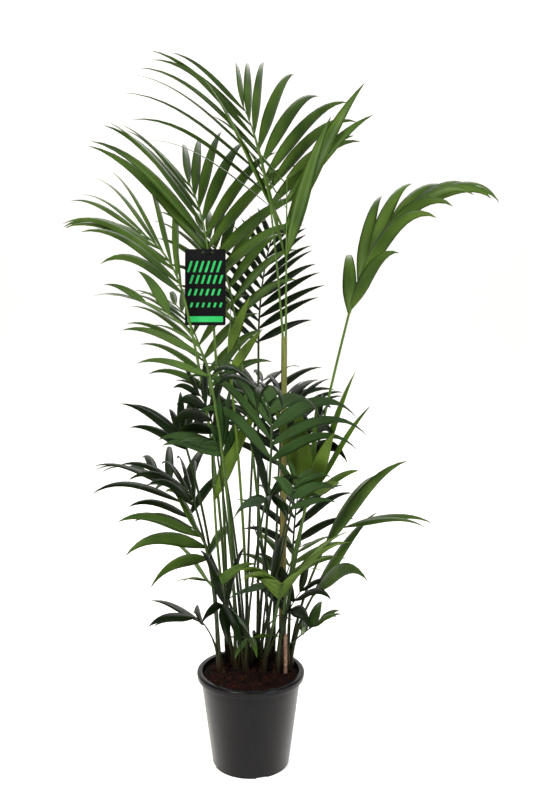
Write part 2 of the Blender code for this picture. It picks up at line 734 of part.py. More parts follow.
def place_ribs(space):
    """Each frond with its rib's points, every rib clear of what stands there already."""
    stems = {stem.name: stem for stem in STEMS}
    placed_ribs = []
    for frond in FRONDS:
        rib = rib_of(frond, seat_of(frond, stems[frond.stem]))
        if space.touches(frond.name, tube_shape(rib, rib_radii(frond), RIB_CLEARANCE)):
            raise ValueError(f"the rib of {frond.name} meets another piece")
        space.add(frond.name, tube_shape(rib, rib_radii(frond)))
        placed_ribs.append((frond, rib))
    return placed_ribs


def clear_leaflets(frond, rib, space):
    """The shapes of a frond's leaflets, each turned or cut short until clear, or left out."""
    shapes = []
    for station in station_shares(frond.pairs):
        for side in (-1, 1):
            share = max(station + side * LEAFLET_STAGGER / frond.pairs, 0.02)
            most = leaflet_length(frond, share)
            for cut, turn in product(LEAFLET_CUTS, LEAFLET_TURNS):
                length = most * cut
                path = leaflet_path(frond, rib, share, side, turn, length)
                fat = leaflet_shape(frond, path, length, LEAFLET_CLEARANCE)
                if not space.touches(frond.name, fat):
                    shapes.append(leaflet_shape(frond, path, length))
                    break
    for shape in shapes:
        space.add(frond.name, shape)
    return shapes


def keep_outer_shell(mesh):
    """Drops any sealed hollow or loose scrap that a union left, which keeps the biggest shell."""
    form = bmesh.new()
    form.from_mesh(mesh)
    unseen, shells = set(form.verts), []
    while unseen:
        shell, edge_of_shell = set(), [unseen.pop()]
        while edge_of_shell:
            point = edge_of_shell.pop()
            shell.add(point)
            for edge in point.link_edges:
                neighbour = edge.other_vert(point)
                if neighbour in unseen:
                    unseen.remove(neighbour)
                    edge_of_shell.append(neighbour)
        shells.append(shell)
    shells.sort(key=len)
    for shell in shells[:-1]:
        bmesh.ops.delete(form, geom=list(shell), context="VERTS")
    form.to_mesh(mesh)
    form.free()


def make_frond(frond, rib, space, collection):
    """A frond: its rib with the leaflets joined to it by one union."""
    material = painted("leaf_" + frond.name, frond.tone, 0.5)
    piece = round_rod(frond.name, rib, rib_radii(frond), collection, material)
    shapes = clear_leaflets(frond, rib, space)
    leaflets = bpy.data.collections.new(frond.name + "_leaflets")
    bpy.context.scene.collection.children.link(leaflets)
    for index, (corners, faces) in enumerate(shapes):
        name = f"{frond.name}_leaflet_{index + 1}"
        placed(name, mesh_from(name, corners, faces), leaflets, material)
    union = piece.modifiers.new("leaflets", "BOOLEAN")
    union.operation = "UNION"
    union.operand_type = "COLLECTION"
    union.solver = "MANIFOLD"
    union.collection = leaflets
    bpy.context.view_layer.update()
    graph = bpy.context.evaluated_depsgraph_get()
    joined = bpy.data.meshes.new_from_object(piece.evaluated_get(graph))
    keep_outer_shell(joined)
    piece.modifiers.clear()
    piece.data = joined
    for helper in list(leaflets.objects):
        bpy.data.objects.remove(helper)
    bpy.data.collections.remove(leaflets)
    print(f"{frond.name}: {len(shapes)} of {2 * frond.pairs} leaflets, {len(joined.polygons)} faces")
    return piece


def tag_axes(ribs):
    """Where the tag's cord crosses its rib, the rib's upward way there and the way forward."""
    frond, rib = next(pair for pair in ribs if pair[0].name == TAG_FROND)
    rachis = rib[PETIOLE_STEPS + 1 :]
    place = TAG_ALONG_RACHIS * RACHIS_STEPS
    step = int(place)
    along = rachis[step + 1] - rachis[step]
    upward = Vector((0, along.y, along.z)).normalized()
    forward = Vector((0, -upward.z, upward.y))
    return rachis[step].lerp(rachis[step + 1], place - step), upward, forward


def make_tag(ribs, space, collection, cutters):
    """The hang tag: a card before its rib, threaded by two holes on a ring of cord."""
    on_rib, upward, forward = tag_axes(ribs)
    tilt = math.radians(TAG_RING_TILT)
    level, deep = TAG_RING_RADIUS * math.cos(tilt), TAG_RING_RADIUS * math.sin(tilt)
    # The ring's far side lies against the back of the rib, and its near side hangs lower.
    ahead = level - (PETIOLE_TOP_RADIUS + 2 * GAP + TAG_RING_CORD)
    centre = on_rib + forward * ahead
    slope = (forward * level - upward * deep).normalized()
    sideways = Vector((1, 0, 0))
    bpy.ops.mesh.primitive_torus_add(
        major_radius=TAG_RING_RADIUS,
        minor_radius=TAG_RING_CORD,
        major_segments=20,
        minor_segments=6,
    )
    ring = settle_primitive("tag_tie", centre, (sideways, slope, sideways.cross(slope)))
    collection.objects.link(ring)
    ring.data.materials.append(painted("tag_tie", "#1c1c1e", 0.6))
    wide, thick, tall = TAG_SIZE
    threaded = math.acos((TAG_AHEAD - ahead) / level)
    hole_side = TAG_RING_RADIUS * math.sin(threaded)
    hole_down = deep * math.cos(threaded) + TAG_HOLE_RADIUS - TAG_RING_CORD - TAG_HOLE_PLAY
    hole_centre = on_rib + forward * TAG_AHEAD - upward * hole_down
    middle = hole_centre + upward * (TAG_HOLE_DROP - tall / 2) + sideways * TAG_OFF_CENTRE
    axes = (sideways, -forward, upward)
    bpy.ops.mesh.primitive_cube_add(size=1)
    bpy.context.object.data.transform(Matrix.Diagonal((wide, thick, tall, 1)))
    card = settle_primitive("tag_card", middle, axes)
    collection.objects.link(card)
    card.data.materials.append(painted("tag_card", "#15151a", 0.35))
    rounding = card.modifiers.new("corners", "BEVEL")
    rounding.width = TAG_CORNER
    rounding.segments = 3
    rounding.limit_method = "WEIGHT"
    round_corners(card.data)
    for side in (-1, 1):
        bpy.ops.mesh.primitive_cylinder_add(radius=TAG_HOLE_RADIUS, depth=10 * thick, vertices=16)
        place = hole_centre + sideways * side * hole_side
        hole = settle_primitive("tag_hole", place, (sideways, upward, forward))
        cutters.objects.link(hole)
        hole.hide_render = True
        hole.display_type = "WIRE"
        cut(card, hole)
    bpy.context.view_layer.update()
    for piece in (ring, card):
        corners = [piece.matrix_world @ v.co for v in piece.data.vertices]
        space.add(piece.name, (corners, [tuple(p.vertices) for p in piece.data.polygons]))
    space.add("tag_front", tag_front(middle, sideways * wide / 2, upward * tall / 2))
    return ring, card


def tag_front(middle, half_width, half_height):
    """The space before the card, which leaflets keep out of, as upright and level sheets."""
    corners, faces = [], []
    for share in TAG_FRONT_SHEETS:
        for edge_from, edge_to in (
            (half_width * share - half_height, half_width * share + half_height),
            (half_height * share - half_width, half_height * share + half_width),
        ):
            first = len(corners)
            corners += [middle + edge_from, middle + edge_to]
            corners += [middle + edge_to + TAG_SIGHT_LINE, middle + edge_from + TAG_SIGHT_LINE]
            faces.append(tuple(range(first, first + 4)))
    return corners, faces


def round_corners(mesh):
    """Marks a card's four edges that run through its thickness, for the Bevel to round."""
    weights = mesh.attributes.new("bevel_weight_edge", "FLOAT", "EDGE")
    for edge, weight in zip(mesh.edges, weights.data):
        ends = [mesh.vertices[index].co for index in edge.vertices]
        weight.value = float(abs(ends[0].y - ends[1].y) > 0)


def settle_primitive(name, centre, axes):
    """Names the new primitive, takes it out of the scene's own collection and places it."""
    piece = bpy.context.object
    piece.name = name
    for holder in list(piece.users_collection):
        holder.objects.unlink(piece)
    turn = Matrix((axes[0], axes[1], axes[2])).transposed().to_4x4()
    piece.matrix_world = Matrix.Translation(centre) @ turn
    return piece


def main():
    """Clears the scene and builds the plant and its pot."""
    for thing in list(bpy.data.objects):
        bpy.data.objects.remove(thing)
    palm = bpy.data.collections.new(PLANT)
    cutters = bpy.data.collections.new("cutters")
    for collection in (palm, cutters):
        bpy.context.scene.collection.children.link(collection)
    space = Space()
    make_pot(palm, cutters)
    make_soil(palm)
    space.add("pot", pot_side())
    space.add("soil", soil_top())
    for stem in STEMS:
        make_stem(stem, space, palm)
    make_old_stub(space, palm)
    ribs = place_ribs(space)
    make_tag(ribs, space, palm, cutters)
    for frond, rib in ribs:
        make_frond(frond, rib, space, palm)


main()
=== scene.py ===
"""Looks of a kentia palm in its round nursery pot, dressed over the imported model.

Metres, +Z up, with the pot's flat underside on the origin and the front towards -Y. The plant
follows the rule of its source: stems stand in the soil, each bears ribs, and each rib bears
leaflets in pairs. A leaflet that would meet another piece is turned, cut short, or left out.
Here the leaflets are thin folded blades, finer and more of them, on round smooth ribs.
"""

import json
import logging
import math
import random
from dataclasses import dataclass, field
from enum import Enum
from functools import partial
from typing import Iterable, Sequence

import bmesh
import bpy
from bpy.types import ID, Material, Node, NodeSocket, NodeTree, Object
from mathutils import Matrix, Vector, noise
from mathutils.bvhtree import BVHTree

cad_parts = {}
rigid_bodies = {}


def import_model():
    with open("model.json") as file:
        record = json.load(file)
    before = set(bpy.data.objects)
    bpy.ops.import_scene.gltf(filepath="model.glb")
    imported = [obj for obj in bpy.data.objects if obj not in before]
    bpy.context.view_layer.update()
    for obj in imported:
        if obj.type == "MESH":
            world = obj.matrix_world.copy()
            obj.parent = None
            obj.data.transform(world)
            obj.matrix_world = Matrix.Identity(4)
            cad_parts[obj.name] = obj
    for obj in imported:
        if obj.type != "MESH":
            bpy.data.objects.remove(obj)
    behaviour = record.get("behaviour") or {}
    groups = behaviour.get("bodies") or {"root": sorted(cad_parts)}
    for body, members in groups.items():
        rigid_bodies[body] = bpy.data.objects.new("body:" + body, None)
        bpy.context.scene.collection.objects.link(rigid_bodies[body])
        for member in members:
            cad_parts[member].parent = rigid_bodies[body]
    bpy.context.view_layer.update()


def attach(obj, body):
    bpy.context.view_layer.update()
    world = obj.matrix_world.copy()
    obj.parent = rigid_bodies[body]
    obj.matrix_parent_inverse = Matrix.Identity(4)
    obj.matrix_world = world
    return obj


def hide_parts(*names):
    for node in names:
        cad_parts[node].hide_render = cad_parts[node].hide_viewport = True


LOG = logging.getLogger("kentia_palm")
BODY = "root"
STRIP_UV = "strip"
UP = Vector((0.0, 0.0, 1.0))

# A shape's corners and faces, and a line's points with the radius at each.
Shape = tuple[list[Vector], list[tuple[int, ...]]]
Line = tuple[Sequence[Vector], Sequence[float]]


# Sizes shared with the part's source.
POT_HEIGHT = 0.225
POT_TOP_RADIUS = 0.1125
RIM_RADIUS = 0.1225
SOIL_LEVEL = 0.212
GAP = 0.0003
FOOT_RISE = 0.006
FLARE_RISE = 0.012
FLARE_GIRTH = 0.85
LONG_STEM = 0.3
SEAT_INSET = 1.05
PETIOLE_FOOT_RADIUS = 0.0036
PETIOLE_TOP_RADIUS = 0.0027
RACHIS_TIP_RADIUS = 0.0016
LEAFLET_WIDTH_LEAST = 0.013
LEAFLET_WIDTH_SHARE = 0.05
LEAFLET_WIDTH_MOST = 0.034
LEAFLET_SLENDER = 0.15
LEAFLET_STAGGER = 0.13
LEAFLET_TURNS = (0, 7, -7, 14, -14, 21, -21, 28, -28)
TAG_FROND = "frond_left_tall"
TAG_ALONG_RACHIS = 0.31


def linear(colour: str) -> tuple[float, float, float, float]:
    """An sRGB hex colour as linear red, green, blue and alpha."""
    parts = [int(colour[i : i + 2], 16) / 255 for i in (1, 3, 5)]
    lit = [p / 12.92 if p <= 0.04045 else ((p + 0.055) / 1.055) ** 2.4 for p in parts]
    return (lit[0], lit[1], lit[2], 1.0)


def add_node(
    tree: NodeTree,
    kind: str,
    settings: dict | None = None,
    inputs: dict | None = None,
    stops: Sequence[tuple[float, str]] = (),
) -> Node:
    """Adds a node with its settings and its inputs.

    Args:
        tree: The node tree that it goes into.
        kind: Blender's name for the kind of node.
        settings: Values of the node's own properties.
        inputs: Values for its sockets, or the output sockets that feed them.
        stops: Places and colours along a colour ramp, from its low end.

    Returns:
        The new node.
    """
    node = tree.nodes.new(kind)
    for key, value in (settings or {}).items():
        setattr(node, key, value)
    for key, value in (inputs or {}).items():
        if isinstance(value, NodeSocket):
            tree.links.new(value, node.inputs[key])
        else:
            node.inputs[key].default_value = value
    for index, (place, colour) in enumerate(stops):
        elements = node.color_ramp.elements
        stop = elements[index] if index < len(elements) else elements.new(place)
        stop.position = place
        stop.color = linear(colour)
    return node


class Surface:
    """A Principled material as it is made, with its patterns and what they feed."""

    def __init__(self, name: str, roughness: float, ior: float = 1.45, gloss: float = 0.5) -> None:
        """Starts it, with its plain numbers set on the shader's own sockets."""
        self.material = bpy.data.materials.new(name)
        self.material.use_nodes = True
        self.tree = self.material.node_tree
        self.add = partial(add_node, self.tree)
        self.shader = self.tree.nodes["Principled BSDF"]
        self.shader.inputs["Roughness"].default_value = roughness
        self.shader.inputs["IOR"].default_value = ior
        self.shader.inputs["Specular IOR Level"].default_value = gloss

    def place(self) -> NodeSocket:
        """A point's place on the plant, in metres."""
        return self.add("ShaderNodeTexCoord").outputs["Object"]

    def strip(self) -> NodeSocket:
        """A point's place across and along its leaflet or sheath, in metres."""
        return self.add("ShaderNodeUVMap", {"uv_map": STRIP_UV}).outputs[0]

    def streaks(
        self, source: NodeSocket, scale: tuple[float, float, float], detail: float = 2.0
    ) -> NodeSocket:
        """Clouds that are drawn out one way, as fibres and scuffs are.

        Args:
            source: The coordinates, in metres.
            scale: Changes to a metre, each way.
            detail: How many finer layers the clouds have.

        Returns:
            The streaks' strength, from 0 to 1.
        """
        spot = self.add("ShaderNodeMapping", None, {"Vector": source, "Scale": scale})
        inputs = {"Vector": spot.outputs[0], "Scale": 1.0, "Detail": detail}
        return self.add("ShaderNodeTexNoise", None, inputs).outputs["Fac"]

    def darkened(
        self, colour: NodeSocket, lines: NodeSocket, amount: float, greys: Sequence[tuple[float, str]]
    ) -> NodeSocket:
        """A colour that is darker between its fibres.

        Args:
            colour: The colour between them and on them.
            lines: The fibres' strength, from 0 to 1.
            amount: How far it darkens, from 0 to 1.
            greys: Greys along the fibres' strength, from its low end.

        Returns:
            The darkened colour.
        """
        grey = self.add("ShaderNodeValToRGB", None, {"Fac": lines}, greys).outputs["Color"]
        settings = {"data_type": "RGBA", "blend_type": "MULTIPLY"}
        return self.add("ShaderNodeMix", settings, {0: amount, 6: colour, 7: grey}).outputs[2]

    def finish(self, colour: NodeSocket, height: NodeSocket, depth: float, strength: float) -> Material:
        """Feeds the shader.

        Args:
            colour: What goes to its base colour.
            height: The pattern that stands out as relief.
            depth: The relief's depth in metres.
            strength: The relief's strength, from 0 to 1.

        Returns:
            The finished material.
        """
        relief = {"Height": height, "Distance": depth, "Strength": strength}
        bump = self.add("ShaderNodeBump", None, relief)
        self.tree.links.new(colour, self.shader.inputs["Base Color"])
        self.tree.links.new(bump.outputs[0], self.shader.inputs["Normal"])
        return self.material


@dataclass(frozen=True)
class LeafSkin:
    """Living palm leaflet: parallel fibres under a waxy skin, which give it a satin gloss.

    The fibres are drawn 1.4 mm apart, about twice as coarse as the real ones, so that they show.
    """

    name: str
    shade: str
    light: str
    roughness: float = 0.38
    gloss: float = 0.15
    fibre_spacing: float = 0.0014
    fibre_run: float = 9.0
    mottle_size: float = 0.09

    def material(self) -> Material:
        """Green that drifts slowly over the blade, with fine parallel fibres."""
        skin = Surface(self.name, self.roughness, gloss=self.gloss)
        fine = 1 / self.fibre_spacing
        fibres = skin.streaks(skin.strip(), (fine, self.fibre_run, fine))
        clouds = {"Vector": skin.place(), "Scale": 1 / self.mottle_size, "Detail": 1.0}
        drift = skin.add("ShaderNodeTexNoise", None, clouds)
        greens = ((0.32, self.shade), (0.68, self.light))
        green = skin.add("ShaderNodeValToRGB", None, {"Fac": drift.outputs["Fac"]}, greens)
        greys = ((0.35, "#b4b4b4"), (0.6, "#ffffff"))
        lined = skin.darkened(green.outputs["Color"], fibres, 0.55, greys)
        return skin.finish(lined, fibres, 0.0001, 0.3)


@dataclass(frozen=True)
class PetioleSkin:
    """Living petiole: a smooth green rind, darker low down with painted shade, whose faint lines run
    lengthwise.
    """

    name: str
    # The colour at the stalk's foot, where painted shade darkens it.
    old: str
    shade: str
    light: str
    low: float = 0.3
    high: float = 0.75
    roughness: float = 0.4
    line_spacing: float = 0.0018
    line_run: float = 14.0

    def material(self) -> Material:
        """Green that grows lighter with height, its darker foot painted shade, in fine lines that run up
        the stalk.
        """
        skin = Surface(self.name, self.roughness, gloss=0.25)
        place = skin.place()
        fine = 1 / self.line_spacing
        lines = skin.streaks(place, (fine, fine, self.line_run))
        greens = ((0.3, self.shade), (0.7, self.light))
        green = skin.add("ShaderNodeValToRGB", None, {"Fac": lines}, greens)
        # Painted shade: the stalk darkens towards its foot, from the height high down to low.
        apart = skin.add("ShaderNodeSeparateXYZ", None, {"Vector": place})
        span = {"Value": apart.outputs["Z"], "From Min": self.low, "From Max": self.high}
        rise = skin.add("ShaderNodeMapRange", None, span)
        shaded_low = skin.add(
            "ShaderNodeMix",
            {"data_type": "RGBA", "blend_type": "MIX"},
            {0: rise.outputs[0], 6: linear(self.old), 7: green.outputs["Color"]},
        )
        return skin.finish(shaded_low.outputs[2], lines, 0.0002, 0.3)


@dataclass(frozen=True)
class SheathSkin:
    """Leaf sheath: dry brown fibre at the soil that turns olive and then green higher up.

    The fibres are drawn 1.6 mm apart, coarser than the real ones, so that they show.
    """

    name: str
    stops: tuple[tuple[float, str], ...]
    reach: float
    roughness: float = 0.62
    fibre_spacing: float = 0.0016
    fibre_run: float = 12.0
    ragged: float = 0.22

    def material(self) -> Material:
        """Colour by height above the soil, broken up by fibres, with fibre relief."""
        skin = Surface(self.name, self.roughness, gloss=0.25)
        strip = skin.strip()
        fine = 1 / self.fibre_spacing
        fibres = skin.streaks(strip, (fine, self.fibre_run, fine))
        apart = skin.add("ShaderNodeSeparateXYZ", None, {"Vector": strip})
        rise = {0: apart.outputs["Y"], 1: self.reach}
        share = skin.add("ShaderNodeMath", {"operation": "DIVIDE"}, rise)
        spread = {0: fibres, 1: self.ragged, 2: share.outputs[0]}
        broken = skin.add("ShaderNodeMath", {"operation": "MULTIPLY_ADD"}, spread)
        centred = {0: broken.outputs[0], 1: self.ragged / 2}
        eased = skin.add("ShaderNodeMath", {"operation": "SUBTRACT", "use_clamp": True}, centred)
        height = skin.add("ShaderNodeValToRGB", None, {"Fac": eased.outputs[0]}, self.stops)
        greys = ((0.32, "#8a8078"), (0.58, "#ffffff"))
        lined = skin.darkened(height.outputs["Color"], fibres, 0.7, greys)
        return skin.finish(lined, fibres, 0.0006, 0.6)


@dataclass(frozen=True)
class DryFibre:
    """Dead sheath and peat matter: matt, rough, and no two bits quite the same brown."""

    name: str
    dark: str
    light: str
    grain: float
    roughness: float = 0.92
    depth: float = 0.0012

    def material(self) -> Material:
        """Brown crumbs, each bit its own brown, darker in their hollows with painted shade."""
        skin = Surface(self.name, self.roughness, gloss=0.12)
        clouds = {"Vector": skin.place(), "Scale": 1 / self.grain, "Detail": 4.0, "Roughness": 0.7}
        crumbs = skin.add("ShaderNodeTexNoise", None, clouds).outputs["Fac"]
        # The crumbs give both colour and relief, so the darker browns fall in the hollows as painted shade.
        browns = ((0.38, self.dark), (0.66, self.light))
        brown = skin.add("ShaderNodeValToRGB", None, {"Fac": crumbs}, browns)
        return skin.finish(brown.outputs["Color"], crumbs, self.depth, 0.8)


@dataclass(frozen=True)
class MouldedPlastic:
    """Polypropylene, injection moulded: even charcoal with a fine spark texture and light scuffs.

    The scuffs are about 25 mm across and 70 mm tall. The spark texture is drawn about 1 mm wide,
    coarser than the real one, so that it shows.
    """

    name: str
    colour: str
    scuffed: str
    roughness: float = 0.24
    scuff_scale: tuple[float, float, float] = (40.0, 40.0, 14.0)
    spark_scale: float = 900.0

    def material(self) -> Material:
        """Charcoal with scuffs that catch the light a little more than the rest."""
        skin = Surface(self.name, self.roughness, 1.49, 0.16)
        place = skin.place()
        scuffs = skin.streaks(place, self.scuff_scale, 5.0)
        charcoals = ((0.5, self.colour), (0.8, self.scuffed))
        charcoal = skin.add("ShaderNodeValToRGB", None, {"Fac": scuffs}, charcoals)
        span = {"Value": scuffs, "To Min": self.roughness - 0.04, "To Max": self.roughness + 0.05}
        worn = skin.add("ShaderNodeMapRange", None, span)
        skin.tree.links.new(worn.outputs[0], skin.shader.inputs["Roughness"])
        sparks = skin.add("ShaderNodeTexNoise", None, {"Vector": place, "Scale": self.spark_scale})
        return skin.finish(charcoal.outputs["Color"], sparks.outputs["Fac"], 0.0001, 0.25)


@dataclass(frozen=True)
class PrintedBoard:
    """Laminated card or ink on it: an even colour under a thin film, with a satin shine.

    The film's waves are about 30 mm long.
    """

    name: str
    colour: str
    worn: str
    roughness: float = 0.3
    waves: float = 35.0

    def material(self) -> Material:
        """An even colour with the film's slight waves."""
        skin = Surface(self.name, self.roughness, 1.5, 0.12)
        clouds = {"Vector": skin.place(), "Scale": self.waves, "Detail": 2.0}
        waves = skin.add("ShaderNodeTexNoise", None, clouds).outputs["Fac"]
        inks = ((0.45, self.colour), (0.9, self.worn))
        ink = skin.add("ShaderNodeValToRGB", None, {"Fac": waves}, inks)
        return skin.finish(ink.outputs["Color"], waves, 0.0006, 0.2)


@dataclass(frozen=True)
class Backdrop:
    """Matt white studio paper, which glows a little so that it stays white behind the plant."""

    name: str = "studio_paper"
    colour: str = "#f7f5f2"
    glow: float = 0.52

    def material(self) -> Material:
        """Even, matt and a little warm."""
        paper = Surface(self.name, 0.95)
        for socket in ("Base Color", "Emission Color"):
            paper.shader.inputs[socket].default_value = linear(self.colour)
        paper.shader.inputs["Emission Strength"].default_value = self.glow
        return paper.material


class Tone(Enum):
    """The greens that the fronds are dealt: older leaves are deep, darker still with painted shade for
    those low and in the crown's middle, and young ones fresh.
    """

    DEEP = "deep"
    LEAF = "green"
    FRESH = "fresh"


@dataclass(frozen=True)
class ToneSkins:
    """One shade of a tone: the greens of its leaflets' two sides, and the record's slot for it."""

    name: str
    upper: tuple[str, str]
    under: tuple[str, str]
    under_roughness: float
    slot: str

    def materials(self) -> list[Material]:
        """The upper skin, and then the paler and more matt underside."""
        upper = LeafSkin(f"leaf_upper_{self.name}", *self.upper)
        under = LeafSkin(f"leaf_under_{self.name}", *self.under, self.under_roughness)
        return [upper.material(), under.material()]


# Older leaves are nearly black green, partly by age and partly painted shade for the fronds low and in the
# crown's middle, grown ones a mid green, and young ones a clear yellow green.
# Two shades each of the first two, dealt out by frond, keep the crown from looking of one piece.
TONE_SKINS = {
    # The deep shades are darker than age alone makes them: painted shade for fronds low and in the crown's
    # middle.
    (Tone.DEEP, 0): ToneSkins("deep", ("#091304", "#142408"), ("#22381c", "#304a26"), 0.55, "leaf_deep"),
    (Tone.DEEP, 1): ToneSkins("dusk", ("#0f1a06", "#1b2c0b"), ("#283f1c", "#375425"), 0.55, "leaf_deep"),
    (Tone.LEAF, 0): ToneSkins("green", ("#2a4014", "#455e21"), ("#39531d", "#4d692a"), 0.52, "leaf_green"),
    (Tone.LEAF, 1): ToneSkins("grass", ("#334b19", "#506a28"), ("#415c22", "#587433"), 0.52, "leaf_green"),
    (Tone.FRESH, 0): ToneSkins("fresh", ("#35500f", "#52701c"), ("#43591a", "#5f7a2a"), 0.5, "leaf_fresh"),
}
# Each stalk is as dark as its frond's leaflets, by age and painted shade, and darker at its foot with
# painted shade.
PETIOLE_SKINS = {
    Tone.DEEP: PetioleSkin("petiole_deep", "#121b0a", "#1f3012", "#33491d"),
    Tone.LEAF: PetioleSkin("petiole_green", "#1a270e", "#37501b", "#55722a"),
    Tone.FRESH: PetioleSkin("petiole_fresh", "#263a12", "#48641f", "#68862f"),
}
# Sheaths at the stems' feet: brown fibre in the soil's shade, soon olive and then dark green.
SHORT_SHEATH = SheathSkin(
    "sheath_short", ((0.0, "#1c120b"), (0.2, "#2f2816"), (0.5, "#2c3518"), (1.0, "#1d2b10")), 0.14
)
# The tall stem's one long sheath: straw brown at its foot and a dull yellow olive above.
TALL_SHEATH = SheathSkin(
    "sheath_tall", ((0.0, "#4a3a24"), (0.12, "#665a32"), (0.6, "#7c7840"), (1.0, "#76803e")), 0.77
)
# The papery edge of the tall sheath, dried to a dark red brown.
SHEATH_EDGE = DryFibre("sheath_edge", "#2c171b", "#4a2c2e", 0.004, 0.7, 0.0004)
# Dead, felted fibre round the oldest stalks' feet, nearly as dark as the soil.
HEEL_FIBRE = DryFibre("heel_fibre", "#1c120b", "#3a2a18", 0.004)
# A stalk that died after it was cut: pale, dull straw.
STUB_STRAW = DryFibre("dry_petiole", "#6d5043", "#a58672", 0.006, 0.8, 0.0006)
# Moist peat: almost black, with a red cast and no shine.
PEAT = DryFibre("peat", "#080403", "#1c0f0b", 0.004)
# Chips of composted bark, each from black to rust brown.
PEAT_CHIP = DryFibre("bark_chip", "#060302", "#38190f", 0.016)
# Coconut fibre in the peat, in thin paler threads.
COIR = DryFibre("coir_fibre", "#2c1d14", "#5a4030", 0.01)
# Charcoal polypropylene with soft bright highlights on its rim.
POT_PLASTIC = MouldedPlastic("moulded_charcoal_plastic", "#100f11", "#161517")
# The tag's card, its ink and its cord: black under film, a clear green, and dull black elastic.
BOARD_BLACK = PrintedBoard("laminated_card", "#0a090c", "#121014")
PRINT_GREEN = PrintedBoard("green_ink", "#2cab58", "#3fc46e")
CORD_BLACK = PrintedBoard("elastic_cord", "#19191b", "#2a2a2d", 0.7)


@dataclass(frozen=True)
class Stem:
    """A sheathed stem foot: its place on the soil, height, girth and lean."""

    name: str
    x: float
    y: float
    height: float
    foot_radius: float = 0.0145
    top_radius: float = 0.0118
    lean_x: float = 0.0
    lean_y: float = 0.0

    def line(self) -> tuple[list[Vector], list[float]]:
        """Centre line and girths, from the flat cut on the soil to the flat top."""
        foot = SOIL_LEVEL + GAP
        steps = 3 if self.height < LONG_STEM else 8
        points = [Vector((self.x, self.y, foot)), Vector((self.x, self.y, foot + FLARE_RISE))]
        radii = [self.foot_radius, self.foot_radius * FLARE_GIRTH]
        for step in range(1, steps + 1):
            share = step / steps
            rise = foot + FLARE_RISE + (self.height - FLARE_RISE - FOOT_RISE) * share
            lean = Vector((self.lean_x, self.lean_y, 0)) * share**1.3
            points.append(Vector((self.x, self.y, rise)) + lean)
            radii.append(radii[1] + (self.top_radius - radii[1]) * share)
        points.append(points[-1] + UP * FOOT_RISE)
        radii.append(self.top_radius)
        return points, radii


@dataclass(frozen=True)
class Frond:
    """One frond, with its sizes in metres and its angles in degrees.

    The heading of 0 is +X and 90 is +Y, and the lean is from upright. The petiole leans further
    by bow, and the rachis by arch while its heading turns by drift. The longest leaflet is as long
    as leaflet says. The lowest spread from the rachis by the first angle of spread and the highest
    by the second, all lifted from its plane and drooping. The roll turns the blade about its
    rachis, and the pitch turns the left and the right leaflets about their own lines. Width and
    girth scale the leaflets' width and the rib's radius. The seat is how far round the stem's top
    the foot stands.
    """

    name: str
    stem: str
    heading: float
    lean: float
    petiole: float
    blade: float
    bow: float = 12
    arch: float = 35
    drift: float = 0
    pairs: int = 7
    leaflet: float = 0.28
    spread: tuple[float, float] = (55, 20)
    lift: float = 20
    droop: float = 45
    roll: float = 0
    width: float = 1.0
    girth: float = 1.0
    seat: float = 0
    pitch: tuple[float, float] = (0, 0)
    tone: Tone = Tone.LEAF

    def frame(self, share: float) -> tuple[Vector, Vector, Vector]:
        """Along, across and upper directions at this share of the rachis, with the roll."""
        lean = math.radians(self.lean + self.bow + self.arch * share**1.5)
        heading = math.radians(self.heading + self.drift * share)
        along, across, upper = bend(heading, lean)
        roll = math.radians(self.roll)
        return (
            along,
            math.cos(roll) * across + math.sin(roll) * upper,
            math.cos(roll) * upper - math.sin(roll) * across,
        )

    def rib(self, foot: Vector, petiole_steps: int, rachis_steps: int) -> list[Vector]:
        """Points of the petiole and then the rachis."""
        points = [foot, foot + UP * FOOT_RISE]
        for step in range(petiole_steps):
            lean = self.lean + self.bow * (step + 0.5) / petiole_steps
            along, _, _ = bend(math.radians(self.heading), math.radians(lean))
            points.append(points[-1] + along * self.petiole / petiole_steps)
        for step in range(rachis_steps):
            along, _, _ = self.frame((step + 0.5) / rachis_steps)
            points.append(points[-1] + along * self.blade / rachis_steps)
        return points

    def radii(self, petiole_steps: int, rachis_steps: int) -> list[float]:
        """Girth at each point of the rib."""
        radii = [PETIOLE_FOOT_RADIUS]
        for step in range(petiole_steps + 1):
            share = step / petiole_steps
            radii.append(PETIOLE_FOOT_RADIUS + share * (PETIOLE_TOP_RADIUS - PETIOLE_FOOT_RADIUS))
        for step in range(1, rachis_steps + 1):
            share = step / rachis_steps
            radii.append(PETIOLE_TOP_RADIUS + share * (RACHIS_TIP_RADIUS - PETIOLE_TOP_RADIUS))
        return [radius * self.girth for radius in radii]

    def leaflet_length(self, share: float) -> float:
        """Leaflets are longest a quarter of the way up the blade and half that at its tip."""
        return self.leaflet * (0.78 + 0.22 * min(share / 0.25, 1)) * (1 - 0.5 * share**2)

    def seat_on(self, stem: Stem) -> Vector:
        """The frond's foot: on the stem's flat top, towards the edge, a hair clear of it."""
        angle = math.radians(self.heading + self.seat)
        reach = max(stem.top_radius - PETIOLE_FOOT_RADIUS * self.girth * SEAT_INSET, 0)
        return stem.line()[0][-1] + Vector((math.cos(angle), math.sin(angle), 0)) * reach + UP * GAP


